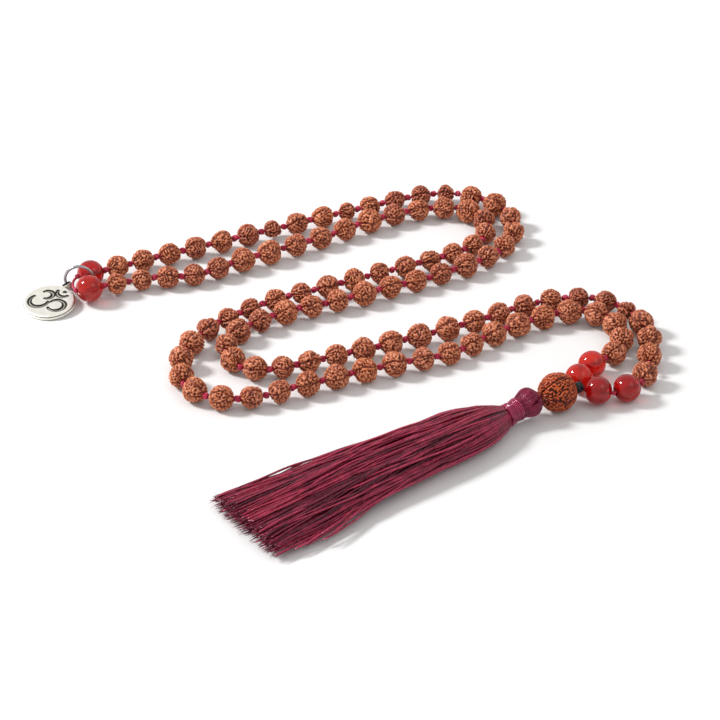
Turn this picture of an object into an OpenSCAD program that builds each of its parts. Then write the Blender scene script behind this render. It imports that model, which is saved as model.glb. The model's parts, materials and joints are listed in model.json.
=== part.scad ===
// Doubled mala of knotted rudraksha beads with stone spacers, guru bead, tassel and charm.
// Units are millimetres, +Z is up and the table is z = 0.

/* [Beads] */
// Diameter of a middling rudraksha bead
rudraksha_d = 6.8; // [5:0.1:10]
// Diameter of the six round stone beads
stone_d = 8; // [6:0.1:12]
// Diameter of the guru bead in front of the tassel
guru_d = 11.4; // [9:0.1:16]
// Diameter of the hole through every bead
bore_d = 1.4; // [1.2:0.1:2]

/* [Cord and knots] */
// Diameter of the stringing cord
cord_d = 0.8; // [0.5:0.05:1]
// Diameter of the knots between the beads
knot_d = 2; // [1.7:0.1:2.6]
// Length of cord left for a knot between two rudraksha beads
knot_gap = 1.9; // [1.6:0.1:3]
// Length of cord left between two stone beads
stone_gap = 1.1; // [1:0.1:2]
// Diameter of the black knot that gathers both strands
guru_knot_d = 3; // [2.4:0.1:4]
// Clearance round every piece that turns
clearance = 0.3; // [0.2:0.05:0.5]

/* [Tassel] */
// Length of the loose threads, from the binding to the cut ends
skirt_length = 91; // [50:1:120]
// Width of the fanned cut ends
skirt_end_w = 34; // [20:1:50]
// Height of the loose threads where they bulge behind the binding
skirt_h = 9.8; // [6:0.1:12]
// Diameter of the folded head
head_d = 8.8; // [6:0.1:12]
// Length of the folded head
head_length = 7.4; // [5:0.1:12]
// Diameter of the binding below the head
binding_d = 6.6; // [4:0.1:8]
// Length of the binding
binding_length = 4.4; // [3:0.1:8]

/* [Ring and charm] */
// Outer diameter of the jump ring
ring_od = 9.2; // [9:0.1:12]
// Diameter of the jump ring wire
ring_wire_d = 0.9; // [0.6:0.05:1.1]
// Diameter of the round charm
charm_d = 15.6; // [10:0.1:22]
// Thickness of the charm at its rim
charm_t = 1.3; // [1:0.1:2]

/* [Hidden] */
$fn = 48;

// Beads in order from the guru bead: K is a stone, a to d are rudraksha from small to large.
outer_sizes = "KKddddacbccccddddcccddcdcdccdcccdccccdcabbbaccaccccccK";
inner_sizes = "KKddddddddcccddddccdddddcbbcbccbcbbbbcbcccdcccddcccbbK";
single_beads = 20;
class_ratio = [["a", 0.81], ["b", 0.93], ["c", 1], ["d", 1.09]];

// Lay of the two strands on the table at the nominal sizes. A third number says which place
// along the strand falls there: a whole number is a knot, a half is the bead after that knot.
outer_route = [[66.8, -23], [71.8, -23.3, 1], [76.2, -21.6], [80, -18, 2], [82, -12], [83, -3, 3.5],
    [84, 6], [82.2, 14.5], [78, 21.5, 6.5], [72.3, 26.7], [64.5, 28.6], [56, 27], [48, 24, 10.5], [33, 15],
    [17, 7, 14.5], [1.5, 0], [-14.5, -6, 18.5], [-23, -10], [-31, -11], [-37, -6, 21.5], [-39, 2.5],
    [-35.5, 10, 23.5], [-22, 20], [-6.5, 26.5, 27.5], [9, 34], [24, 41.5, 31.5], [37.5, 50], [43, 57],
    [46.8, 65, 35.5], [46, 73.5], [41.5, 81], [34, 86.5, 38.5], [26, 88.5], [18.5, 87.5], [3, 81, 42.5],
    [-19, 70.5], [-41.5, 60, 48.5], [-65, 49], [-73, 44.5], [-79.3, 39.8, 53.5], [-83.7, 39.2, 54]];
inner_route = [[62.3, -16.5], [62.6, -11.4, 1], [65.5, -8], [70.3, -5.4, 2], [74.5, -1.8], [75.8, 4.5],
    [75, 12.5], [70.7, 19], [62.5, 21], [54, 17.8], [46, 13, 8.5], [38.5, 8.5], [32.5, 3], [26, -2, 11.5],
    [17.5, -5], [1.5, -11, 14.5], [-14.5, -18], [-30.5, -25, 18.5], [-39.5, -25.7], [-47.5, -22],
    [-51.5, -14, 21.5], [-51.5, -5], [-49, 3.5], [-44, 11, 24.5], [-38.5, 17.5], [-25, 27],
    [-9.5, 34.5, 29.5], [5.5, 42], [21, 49.5, 33.5], [34, 58], [38, 65, 36.5], [38.3, 72.5],
    [33.2, 78.3], [25.5, 79.8, 39.5], [17, 78.5], [3, 71.5, 42.5], [-12, 62], [-35, 49, 47.5], [-49, 41],
    [-64.5, 39, 51.5], [-72.5, 35.5], [-79.1, 30.3, 53.5], [-83.5, 29.8, 54]];
guru_at = [55.8, -25.4];
guru_angle = 30;
route_steps = 10;
z_end_lift = 0.8;

// The lay spreads with whichever pitch grows the most, so the strands never run into each other.
nominal_bead_pitch = 8.7;
nominal_stone_pitch = 9.1;
nominal_guru_pitch = 14.4;
lay = max((rudraksha_d + knot_gap) / nominal_bead_pitch, (stone_d + stone_gap) / nominal_stone_pitch,
    (guru_d + guru_knot_d) / nominal_guru_pitch);
guru_r = guru_d / 2;
stone_r = stone_d / 2;
knot_r = knot_d / 2;
guru_knot_r = guru_knot_d / 2;
// The knots between two stones are pulled smaller and sink a little into both dimples.
stone_knot_share = 0.35;
stone_knot_sink = 0.25;
stone_knot_r = min(stone_knot_share * knot_d, stone_gap / 2 + stone_knot_sink);
guru_knot_rise = 0.6;
guru_knot_z = stone_r + (guru_r - stone_r) * guru_knot_rise;

function diameter(c) = c == "K" ? stone_d :
    rudraksha_d * [for (row = class_ratio) if (row[0] == c) row[1]][0];
function catmull(a, b, c, d, t) = 0.5 * (2 * b + (c - a) * t + (2 * a - 5 * b + 4 * c - d) * t * t
    + (3 * b - a - 3 * c + d) * t * t * t);

// Points of a smooth curve through a route.
function curve(r) = [for (i = [0 : len(r) - 2]) for (k = [0 : route_steps - (i == len(r) - 2 ? 0 : 1)])
    catmull(r[max(i - 1, 0)], r[i], r[i + 1], r[min(i + 2, len(r) - 1)], k / route_steps)];
// Length along the curve at each of its points.
function lengths(p) = [for (i = 0, s = 0; i < len(p); i = i + 1,
    s = s + (i < len(p) ? norm(p[i] - p[i - 1]) : 0)) s];
function column(p, s, axis) = [for (i = [0 : len(p) - 1]) [s[i], p[i][axis]]];

guru_dir = [cos(guru_angle), sin(guru_angle)];
guru_xy = guru_at * lay;
guru_knot_xy = guru_xy + (guru_r + guru_knot_r - clearance) * guru_dir;

// Gap along the cord between bead k - 1 and bead k.
function is_stone_gap(sizes, k) = sizes[k - 1] == "K" && sizes[k] == "K";
function gap(sizes, k) = is_stone_gap(sizes, k) ? stone_gap : knot_gap;

// A strand is [bead centres, knot centres, bead diameters]. Its pieces are first set out along a
// straight cord, then that length is fitted to the route between its numbered places.
function strand(sizes, route, lift) = let (
    n = len(sizes),
    r = concat([[guru_knot_xy[0] / lay, guru_knot_xy[1] / lay, 0]], route),
    p = curve([for (q = r) [q[0], q[1]] * lay]),
    s = lengths(p),
    d = [for (k = [0 : n - 1]) diameter(sizes[k])],
    before = [for (k = [0 : n - 1]) k == 0 ? guru_knot_r + clearance : gap(sizes, k) / 2],
    after = [for (k = [0 : n - 1]) k == n - 1 ? stone_gap / 2 : gap(sizes, k + 1) / 2],
    at = [for (k = 0, a = 0; k <= n; a = a + (k < n ? before[k] + d[k] + after[k] : 0), k = k + 1) a],
    fit = [for (i = [0 : len(r) - 1]) if (len(r[i]) == 3) let (k = floor(r[i][2]))
        [at[k] + (r[i][2] > k ? before[k] + d[k] / 2 : 0), s[i * route_steps]]],
    xs = column(p, s, 0),
    ys = column(p, s, 1),
    z = [for (k = [0 : n]) k == 0 ? guru_knot_z : k == n ? d[n - 1] / 2 + lift : max(d[k - 1], d[k]) / 2
        + (k == n - 1 ? lift / 2 : 0)],
    knots = [for (k = [0 : n]) let (q = lookup(at[k], fit)) [lookup(q, xs), lookup(q, ys), z[k]]],
    centres = [for (k = [0 : n - 1]) knots[k] + (knots[k + 1] - knots[k]) * (before[k] + d[k] / 2)
        / (before[k] + d[k] + after[k])])
    [centres, knots, d];

outer = strand(outer_sizes, outer_route, 0);
inner = strand(inner_sizes, inner_route, z_end_lift);
guru_knot_at = [guru_knot_xy[0], guru_knot_xy[1], guru_knot_z];
guru_c = [guru_xy[0], guru_xy[1], guru_r];
guru_axis = (guru_knot_at - guru_c) / norm(guru_knot_at - guru_c);

// How far a bore's cut runs past both ends of its bead together.
bore_margin = 2;

// Tassel frame: origin at the pivot just outside the guru bead, x towards the cut ends.
tassel_angle = 215;
tassel_tilt = 11;
pivot_gap = 0.4;
pivot_r = 0.55;
tassel_at = guru_c - (guru_r + pivot_gap) * guru_axis;
head_x = pivot_gap + head_length / 2;
head_tuck = 0.5;
skirt_tuck = 0.2;
head_lift = 1.15;
head_trim = 0.6;
binding_x = head_x + head_length / 2 - head_tuck;
skirt_x = binding_x + binding_length * cos(tassel_tilt) - skirt_tuck;
head_z = head_d / 2 + head_lift;
binding_z = head_z - (binding_x - head_x) * tan(tassel_tilt);
neck_z = binding_z - binding_length * sin(tassel_tilt);
head_hole_r = 0.9;
head_points = 16;
split_w = 0.5;
binding_turns = 8;
binding_ridge = 0.25;
strand_ridges = 44;
ridge_h = 0.25;

// The ring stands between the two end stones and the charm's bail hangs on its lower left.
link_bulge = 1;
outer_end = outer[0][len(outer_sizes) - 1];
inner_end = inner[0][len(inner_sizes) - 1];
outer_tip = outer[1][len(outer_sizes)];
inner_tip = inner[1][len(inner_sizes)];
end_mid = (outer_end + inner_end) / 2;
ring_axis = (outer_end - inner_end) / norm(outer_end - inner_end);
ring_wire_r = ring_wire_d / 2;
ring_r = ring_od / 2 - ring_wire_r;
ring_clear = 0.35;
ring_lean = atan2(-ring_axis[2], ring_axis[1]);
ring_reach = 1;
ring_c = [end_mid[0] - ring_r + ring_reach,
    end_mid[1] + (ring_od / 2 + ring_clear - end_mid[2]) * tan(ring_lean), ring_od / 2 + ring_clear];
bail_angle = 214;
bail_at = ring_c
    + ring_r * [cos(bail_angle), sin(bail_angle) * sin(ring_lean), sin(bail_angle) * cos(ring_lean)];
bail_play = 2.1;
bail_r = ring_wire_r + bail_play * clearance;
bail_wall = 0.45;
bail_length = 2;
charm_angle = 236;
bail_neck = 0.15;
charm_reach = charm_d / 2 + bail_r + bail_neck;
charm_tilt = asin((bail_at[2] - charm_t / 2) / (charm_reach + charm_d / 2));
charm_step = 0.3;
sign_disc_d = 15.6;
stroke_w = 0.85;
stroke_h = 0.35;
// Engraved sign as plain arcs: centre, radius, first angle, turn.
sign_arcs = [[[-3, 0.4], 2.8, 120, 225], [[-0.7, 3], 1.8, -110, 230], [[2.2, -2.3], 2.5, -160, 295],
    [[4.3, 3.7], 2.1, 150, 150]];
sign_dot = [4.5, 3.8];
sign_dot_d = 1.1;

cord_c = [0.62, 0.08, 0.16];
knot_c = [0.66, 0.07, 0.17];
black_c = [0.08, 0.08, 0.1];
bead_c = [0.62, 0.34, 0.2];
guru_c_rgb = [0.5, 0.26, 0.12];
stone_c = [0.75, 0.1, 0.08, 0.9];
tassel_c = [0.42, 0.11, 0.22];
wrap_c = [0.56, 0.2, 0.34];
silver_c = [0.8, 0.79, 0.75];

// Everything is shifted so the origin is under the middle of the whole object.
skirt_tip = tassel_at + (skirt_x + skirt_length) * [cos(tassel_angle), sin(tassel_angle), 0];
charm_way = [cos(charm_angle) * cos(charm_tilt), sin(charm_angle) * cos(charm_tilt), -sin(charm_tilt)];
charm_c = bail_at + charm_reach * charm_way;
all_x = [for (s = [outer, inner]) for (k = [0 : len(s[0]) - 1]) s[0][k][0] + s[2][k] / 2];
all_y = [for (s = [outer, inner]) for (k = [0 : len(s[0]) - 1]) s[0][k][1] + s[2][k] / 2];
box_min = [charm_c[0] - charm_d / 2, skirt_tip[1] - skirt_end_w / 2 * cos(tassel_angle - 180)];
box_max = [max(all_x), max(all_y)];
shift = [-(box_min[0] + box_max[0]) / 2, -(box_min[1] + box_max[1]) / 2, 0];

function unit(v) = v / norm(v);
function tangent(p, i) = unit(p[min(i + 1, len(p) - 1)] - p[max(i - 1, 0)]);
function side(t) = unit([-t[1], t[0], 0]);
// Points of a tube of eight sides about a path.
function tube_points(p, r) = [for (i = [0 : len(p) - 1]) let (t = tangent(p, i), n = side(t), b = cross(t, n))
    for (k = [0 : 7]) p[i] + r * (cos(45 * k) * n + sin(45 * k) * b)];
function ring_faces(rings, n) = concat([[for (k = [0 : n - 1]) k]],
    [for (i = [0 : rings - 2]) for (k = [0 : n - 1])
        let (a = i * n + k, b = i * n + (k + 1) % n) [a, a + n, b + n, b]],
    [[for (k = [0 : n - 1]) rings * n - 1 - k]]);
function link(t) = outer_tip * (1 - t) + inner_tip * t - [link_bulge * sin(180 * t), 0, 0];
function end_knot(sizes, k) = k == len(sizes) || (k > 0 && is_stone_gap(sizes, k));
function knot_radius(sizes, k) = k == 0 ? guru_knot_r : end_knot(sizes, k) ? stone_knot_r : knot_r;

// Turns the z axis of its children to a direction and moves them to a point.
module aim(at, dir) {
    translate(at) rotate([0, acos(dir[2] / norm(dir)), atan2(dir[1], dir[0])]) children();
}

// A bored bead with a dimple at each end that clears its knot by the common clearance.
module bead(s, sizes, k) {
    dir = s[1][k + 1] - s[1][k];
    back = k == 0 ? [] : [[-norm(s[0][k] - s[1][k]), k]];
    aim(s[0][k], dir) difference() {
        sphere(d = s[2][k]);
        cylinder(d = bore_d, h = s[2][k] + bore_margin, center = true);
        for (e = concat(back, [[norm(s[1][k + 1] - s[0][k]), k + 1]]))
            translate([0, 0, e[0]]) sphere(r = knot_radius(sizes, e[1]) + clearance);
    }
}

module outer_bead(k) {
    translate(shift) bead(outer, outer_sizes, k);
}

module inner_bead(k) {
    translate(shift) bead(inner, inner_sizes, k);
}

module knots(s, sizes) {
    for (k = [1 : len(sizes)]) translate(s[1][k]) sphere(r = knot_radius(sizes, k));
}

module cord(s, tail) {
    path = concat(s[1], tail);
    polyhedron(points = tube_points(path, cord_d / 2), faces = ring_faces(len(path), 8), convexity = 10);
}

module cord_outer_strand() {
    color(cord_c) translate(shift) cord(outer, [link(0.17), link(0.34), link(0.5)]);
}

module cord_inner_strand() {
    color(cord_c) translate(shift) cord(inner, [link(0.83), link(0.66), link(0.5)]);
}

module knots_outer_strand() {
    color(knot_c) translate(shift) knots(outer, outer_sizes);
}

module knots_inner_strand() {
    color(knot_c) translate(shift) knots(inner, inner_sizes);
}

module guru_knot() {
    color(black_c) translate(shift + guru_knot_at) sphere(r = guru_knot_r);
}

module guru_bead() {
    color(guru_c_rgb) translate(shift) difference() {
        aim(guru_c, guru_axis) difference() {
            sphere(d = guru_d);
            cylinder(d = bore_d, h = guru_d + bore_margin, center = true);
        }
        translate(guru_knot_at) sphere(r = guru_knot_r + clearance);
    }
}

module tassel_frame() {
    translate(shift + [tassel_at[0], tassel_at[1], 0]) rotate(tassel_angle) children();
}

module tassel_cord() {
    color(cord_c) translate(shift + tassel_at) sphere(r = pivot_r);
}

// Folded threads: an egg of revolution with a socket for the cord and a split along one side.
module tassel_head() {
    color(tassel_c) difference() {
        tassel_frame() translate([head_x, 0, head_z]) rotate([0, 90 + tassel_tilt, 0]) difference() {
            rotate_extrude() polygon([for (k = [0 : head_points]) let (a = 180 * k / head_points)
                [head_d / 2 * sin(a), -head_length / 2 * cos(a)]]);
            rotate(200) translate([head_d / 4, -split_w / 2, -head_length / 2])
                cube([head_d, split_w, head_length]);
            translate([0, 0, head_length / 2 - head_trim]) cylinder(d = 2 * head_d, h = head_length);
        }
        translate(shift + tassel_at) sphere(r = head_hole_r);
    }
}

module tassel_binding() {
    step = binding_length / binding_turns;
    color(wrap_c) tassel_frame() translate([binding_x, 0, binding_z]) rotate([0, 90 + tassel_tilt, 0])
        rotate_extrude() polygon(concat([[0, 0]],
            [for (i = [0 : binding_turns - 1]) for (a = [0 : 30 : 150])
                [binding_d / 2 - binding_ridge + binding_ridge * sin(a), step * (i + a / 180)]],
            [[binding_d / 2 - binding_ridge, binding_length], [0, binding_length]]));
}

// Half width, underside and top of the threads at a share of their length.
function skirt_half_w(t) = lookup(t, [[0, binding_d * 0.45], [0.035, binding_d * 0.75],
    [0.1, skirt_end_w * 0.235], [0.2, skirt_end_w * 0.295], [0.4, skirt_end_w * 0.34],
    [0.62, skirt_end_w * 0.4], [1, skirt_end_w * 0.5]]);
function skirt_under(t) = lookup(t, [[0, neck_z - binding_d * 0.42], [0.04, 0.1], [1, 0.1]]);
function skirt_top(t) = lookup(t, [[0, neck_z + binding_d * 0.42], [0.04, skirt_h * 0.85],
    [0.1, skirt_h * 0.97], [0.2, skirt_h], [0.4, skirt_h * 0.97], [0.65, skirt_h * 0.82], [1, skirt_h * 0.54]]);
skirt_at = [0, 0.03, 0.08, 0.14, 0.2, 0.32, 0.45, 0.6, 0.75, 0.88, 1];
function skirt_ring(t) = let (w = skirt_half_w(t), z0 = skirt_under(t), z1 = skirt_top(t))
    [for (k = [0 : strand_ridges - 1]) let (a = 360 * k / strand_ridges, r = k % 2 == 0 ? 1 : 1 - ridge_h / w,
        up = r * sin(a)) [skirt_x + t * skirt_length, r * w * cos(a),
        up > 0 ? z0 + (z1 - z0) * (0.35 + 0.65 * up) : z0 + (z1 - z0) * 0.35 * (1 + up)]];

module tassel_skirt() {
    color(tassel_c) tassel_frame() polyhedron(points = [for (t = skirt_at) each skirt_ring(t)],
        faces = ring_faces(len(skirt_at), strand_ridges), convexity = 4);
}

module jump_ring() {
    color(silver_c) aim(shift + ring_c, ring_axis) rotate_extrude()
        translate([ring_r, 0]) circle(r = ring_wire_r);
}

module sign() {
    for (s = sign_arcs) translate([s[0][0], s[0][1]]) rotate(s[2]) rotate_extrude(angle = s[3])
        translate([s[1] - stroke_w / 2, -stroke_h]) square([stroke_w, 2 * stroke_h]);
    translate([sign_dot[0], sign_dot[1], -stroke_h]) cylinder(d = sign_dot_d, h = 2 * stroke_h);
}

module charm() {
    color(silver_c) translate(shift) difference() {
        union() {
            translate(charm_c) rotate(charm_angle) rotate([0, charm_tilt, 0]) difference() {
                union() {
                    translate([0, 0, -charm_t / 2]) cylinder(d = charm_d, h = charm_t - charm_step);
                    cylinder(d = charm_d - 2 * charm_step, h = charm_t / 2);
                }
                translate([0, 0, charm_t / 2]) rotate(-charm_angle) scale(charm_d / sign_disc_d) sign();
            }
            aim(bail_at, bail_axis()) cylinder(r = bail_r + bail_wall, h = bail_length, center = true);
        }
        aim(bail_at, bail_axis()) cylinder(r = bail_r, h = 2 * bail_length, center = true);
    }
}

function bail_axis() = [-sin(bail_angle), cos(bail_angle) * sin(ring_lean), cos(bail_angle) * cos(ring_lean)];

module stone_outer_1() {
    color(stone_c) outer_bead(0);
}

module stone_outer_2() {
    color(stone_c) outer_bead(1);
}

module stone_outer_end() {
    color(stone_c) outer_bead(len(outer_sizes) - 1);
}

module stone_inner_1() {
    color(stone_c) inner_bead(0);
}

module stone_inner_2() {
    color(stone_c) inner_bead(1);
}

module stone_inner_end() {
    color(stone_c) inner_bead(len(inner_sizes) - 1);
}

module bead_outer_01() {
    color(bead_c) outer_bead(2);
}

module bead_outer_02() {
    color(bead_c) outer_bead(3);
}

module bead_outer_03() {
    color(bead_c) outer_bead(4);
}

module bead_outer_04() {
    color(bead_c) outer_bead(5);
}

module bead_outer_05() {
    color(bead_c) outer_bead(6);
}

module bead_outer_06() {
    color(bead_c) outer_bead(7);
}

module bead_outer_07() {
    color(bead_c) outer_bead(8);
}

module bead_outer_08() {
    color(bead_c) outer_bead(9);
}

module bead_outer_09() {
    color(bead_c) outer_bead(10);
}

module bead_outer_10() {
    color(bead_c) outer_bead(11);
}

module bead_outer_11() {
    color(bead_c) outer_bead(12);
}

module bead_outer_12() {
    color(bead_c) outer_bead(13);
}

module bead_outer_13() {
    color(bead_c) outer_bead(14);
}

module bead_outer_14() {
    color(bead_c) outer_bead(15);
}

module bead_outer_15() {
    color(bead_c) outer_bead(16);
}

module bead_outer_16() {
    color(bead_c) outer_bead(17);
}

module bead_outer_17() {
    color(bead_c) outer_bead(18);
}

module bead_outer_18() {
    color(bead_c) outer_bead(19);
}

module bead_outer_19() {
    color(bead_c) outer_bead(20);
}

module bead_outer_20() {
    color(bead_c) outer_bead(21);
}

module beads_outer_rest() {
    color(bead_c) for (k = [single_beads + 2 : len(outer_sizes) - 2]) outer_bead(k);
}

module bead_inner_01() {
    color(bead_c) inner_bead(2);
}

module bead_inner_02() {
    color(bead_c) inner_bead(3);
}

module bead_inner_03() {
    color(bead_c) inner_bead(4);
}

module bead_inner_04() {
    color(bead_c) inner_bead(5);
}

module bead_inner_05() {
    color(bead_c) inner_bead(6);
}

module bead_inner_06() {
    color(bead_c) inner_bead(7);
}

module bead_inner_07() {
    color(bead_c) inner_bead(8);
}

module bead_inner_08() {
    color(bead_c) inner_bead(9);
}

module bead_inner_09() {
    color(bead_c) inner_bead(10);
}

module bead_inner_10() {
    color(bead_c) inner_bead(11);
}

module bead_inner_11() {
    color(bead_c) inner_bead(12);
}

module bead_inner_12() {
    color(bead_c) inner_bead(13);
}

module bead_inner_13() {
    color(bead_c) inner_bead(14);
}

module bead_inner_14() {
    color(bead_c) inner_bead(15);
}

module bead_inner_15() {
    color(bead_c) inner_bead(16);
}

module bead_inner_16() {
    color(bead_c) inner_bead(17);
}

module bead_inner_17() {
    color(bead_c) inner_bead(18);
}

module bead_inner_18() {
    color(bead_c) inner_bead(19);
}

module bead_inner_19() {
    color(bead_c) inner_bead(20);
}

module bead_inner_20() {
    color(bead_c) inner_bead(21);
}

module beads_inner_rest() {
    color(bead_c) for (k = [single_beads + 2 : len(inner_sizes) - 2]) inner_bead(k);
}

cord_outer_strand();
cord_inner_strand();
knots_outer_strand();
knots_inner_strand();
guru_knot();
guru_bead();
tassel_cord();
tassel_head();
tassel_binding();
tassel_skirt();
jump_ring();
charm();
stone_outer_1();
stone_outer_2();
stone_outer_end();
stone_inner_1();
stone_inner_2();
stone_inner_end();
bead_outer_01();
bead_outer_02();
bead_outer_03();
bead_outer_04();
bead_outer_05();
bead_outer_06();
bead_outer_07();
bead_outer_08();
bead_outer_09();
bead_outer_10();
bead_outer_11();
bead_outer_12();
bead_outer_13();
bead_outer_14();
bead_outer_15();
bead_outer_16();
bead_outer_17();
bead_outer_18();
bead_outer_19();
bead_outer_20();
bead_inner_01();
bead_inner_02();
bead_inner_03();
bead_inner_04();
bead_inner_05();
bead_inner_06();
bead_inner_07();
bead_inner_08();
bead_inner_09();
bead_inner_10();
bead_inner_11();
bead_inner_12();
bead_inner_13();
bead_inner_14();
bead_inner_15();
bead_inner_16();
bead_inner_17();
bead_inner_18();
bead_inner_19();
bead_inner_20();
beads_outer_rest();
beads_inner_rest();
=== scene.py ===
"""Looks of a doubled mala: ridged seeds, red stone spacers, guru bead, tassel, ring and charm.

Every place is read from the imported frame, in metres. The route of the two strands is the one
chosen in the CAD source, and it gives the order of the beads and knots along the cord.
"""

import json
import logging
import math
from dataclasses import dataclass, field
from enum import Enum
from typing import ClassVar, Iterable, Sequence

import bpy
import numpy as np
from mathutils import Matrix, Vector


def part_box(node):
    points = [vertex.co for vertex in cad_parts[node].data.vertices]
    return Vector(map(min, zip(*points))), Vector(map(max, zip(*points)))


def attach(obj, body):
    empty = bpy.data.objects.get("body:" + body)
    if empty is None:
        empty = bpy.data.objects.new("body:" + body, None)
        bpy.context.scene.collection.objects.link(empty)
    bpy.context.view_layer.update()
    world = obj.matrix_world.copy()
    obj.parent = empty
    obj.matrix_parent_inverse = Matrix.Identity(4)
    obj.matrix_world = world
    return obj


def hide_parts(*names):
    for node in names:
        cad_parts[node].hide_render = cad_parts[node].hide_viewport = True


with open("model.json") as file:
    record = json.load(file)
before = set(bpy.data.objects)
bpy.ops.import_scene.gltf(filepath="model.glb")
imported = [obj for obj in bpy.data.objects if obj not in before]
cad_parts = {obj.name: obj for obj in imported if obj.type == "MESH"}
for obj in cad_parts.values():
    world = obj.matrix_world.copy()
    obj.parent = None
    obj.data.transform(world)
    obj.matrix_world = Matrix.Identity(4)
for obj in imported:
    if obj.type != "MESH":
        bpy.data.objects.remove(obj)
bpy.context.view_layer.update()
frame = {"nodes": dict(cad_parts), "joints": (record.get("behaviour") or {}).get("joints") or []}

Array = np.ndarray
Colour = tuple[float, float, float, float]
MM = 0.001
TURN = 2 * math.pi
GURU_AT = (0.0558, -0.0254)
OUTER_ROUTE = [
    (0.0668, -0.0230), (0.0718, -0.0233), (0.0762, -0.0216), (0.0800, -0.0180), (0.0820, -0.0120),
    (0.0830, -0.0030), (0.0840, 0.0060), (0.0822, 0.0145), (0.0780, 0.0215), (0.0723, 0.0267),
    (0.0645, 0.0286), (0.0560, 0.0270), (0.0480, 0.0240), (0.0330, 0.0150), (0.0170, 0.0070),
    (0.0015, 0.0000), (-0.0145, -0.0060), (-0.0230, -0.0100), (-0.0310, -0.0110), (-0.0370, -0.0060),
    (-0.0390, 0.0025), (-0.0355, 0.0100), (-0.0220, 0.0200), (-0.0065, 0.0265), (0.0090, 0.0340),
    (0.0240, 0.0415), (0.0375, 0.0500), (0.0430, 0.0570), (0.0468, 0.0650), (0.0460, 0.0735),
    (0.0415, 0.0810), (0.0340, 0.0865), (0.0260, 0.0885), (0.0185, 0.0875), (0.0030, 0.0810),
    (-0.0190, 0.0705), (-0.0415, 0.0600), (-0.0650, 0.0490), (-0.0730, 0.0445), (-0.0793, 0.0398),
    (-0.0837, 0.0392),
]
INNER_ROUTE = [
    (0.0623, -0.0165), (0.0626, -0.0114), (0.0655, -0.0080), (0.0703, -0.0054), (0.0745, -0.0018),
    (0.0758, 0.0045), (0.0750, 0.0125), (0.0707, 0.0190), (0.0625, 0.0210), (0.0540, 0.0178),
    (0.0460, 0.0130), (0.0385, 0.0085), (0.0325, 0.0030), (0.0260, -0.0020), (0.0175, -0.0050),
    (0.0015, -0.0110), (-0.0145, -0.0180), (-0.0305, -0.0250), (-0.0395, -0.0257), (-0.0475, -0.0220),
    (-0.0515, -0.0140), (-0.0515, -0.0050), (-0.0490, 0.0035), (-0.0440, 0.0110), (-0.0385, 0.0175),
    (-0.0250, 0.0270), (-0.0095, 0.0345), (0.0055, 0.0420), (0.0210, 0.0495), (0.0340, 0.0580),
    (0.0380, 0.0650), (0.0383, 0.0725), (0.0332, 0.0783), (0.0255, 0.0798), (0.0170, 0.0785),
    (0.0030, 0.0715), (-0.0120, 0.0620), (-0.0350, 0.0490), (-0.0490, 0.0410), (-0.0645, 0.0390),
    (-0.0725, 0.0355), (-0.0791, 0.0303), (-0.0835, 0.0298),
]


class Row(Enum):
    """The two strands of the doubled loop."""

    OUTER = "outer"
    INNER = "inner"


# ---------------------------------------------------------------- arrays


def unit(v: Array) -> Array:
    """Vectors at length one."""
    return v / np.linalg.norm(v, axis=-1, keepdims=True)


def ease(low: float, high: float, x: Array) -> Array:
    """Rises from 0 at low to 1 at high along 3t^2 - 2t^3."""
    t = np.clip((x - low) / (high - low), 0.0, 1.0)
    return t * t * (3 - 2 * t)


def square_to(direction: Array) -> tuple[Array, Array]:
    """Two unit vectors that make a right-handed set with direction, the first one level."""
    d = unit(np.asarray(direction, float))
    level = np.array([-d[1], d[0], 0.0])
    first = unit(level) if np.linalg.norm(level) > 1e-6 else np.array([1.0, 0.0, 0.0])
    return first, np.cross(d, first)


def smooth_curve(points: Array, steps: int) -> Array:
    """Catmull-Rom curve through the points.

    Each point is half of 2b + (c - a)t + (2a - 5b + 4c - d)t^2 + (3b - a - 3c + d)t^3, where
    a, b, c and d are four points in a row and t goes from 0 to 1 between b and c.

    Args:
        points: Points in order, one a row.
        steps: Parts that each stretch is cut into.
    Returns:
        The curve's points in order.
    """
    padded = np.concatenate([points[:1], points, points[-1:]])
    a, b, c, d = (padded[i : len(padded) - 3 + i, None] for i in range(4))
    t = (np.arange(steps) / steps)[None, :, None]
    inner = 0.5 * (
        2 * b + (c - a) * t + (2 * a - 5 * b + 4 * c - d) * t**2 + (3 * b - a - 3 * c + d) * t**3
    )
    return np.concatenate([inner.reshape(-1, points.shape[1]), points[-1:]])


def lengths_along(path: Array) -> Array:
    """Length from the start of a path to each of its points."""
    return np.concatenate([[0.0], np.cumsum(np.linalg.norm(np.diff(path, axis=0), axis=1))])


def round_angles(count: int) -> Array:
    """Angles that divide a full turn into count steps."""
    return np.arange(count) / count * TURN


def around(angle: Array, first: Array, second: Array) -> Array:
    """Directions first cos a + second sin a, one for each angle."""
    return np.cos(angle)[..., None] * first + np.sin(angle)[..., None] * second


def ripple(at: Array, *terms: tuple[float, float, float]) -> Array:
    """Sum of height sin(rate x + phase) over terms of (height, rate, phase)."""
    return sum(height * np.sin(rate * at + phase) for height, rate, phase in terms)


def wave_field(points: Array, wavelength: float, count: int, rng: np.random.Generator) -> Array:
    """Random field with one typical wavelength, which makes worm-shaped hills and hollows.

    It is the sum of count cosine waves that all have nearly the same wavelength, each with its
    own random direction and phase, divided so that its usual size is 1.

    Args:
        points: Places to evaluate it at, one a row.
        wavelength: Distance from hill to hill.
        count: Number of waves.
        rng: Source of the directions and phases.
    Returns:
        One value for each point.
    """
    direction = unit(rng.normal(size=(count, 3)))
    stretch = 1 + 0.14 * rng.normal(size=(count, 1))
    phase = rng.uniform(0, TURN, count)
    waves = np.cos(points @ (direction * stretch * TURN / wavelength).T + phase)
    return waves.sum(axis=1) * math.sqrt(2 / count)


# ---------------------------------------------------------------- surfaces


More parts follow.
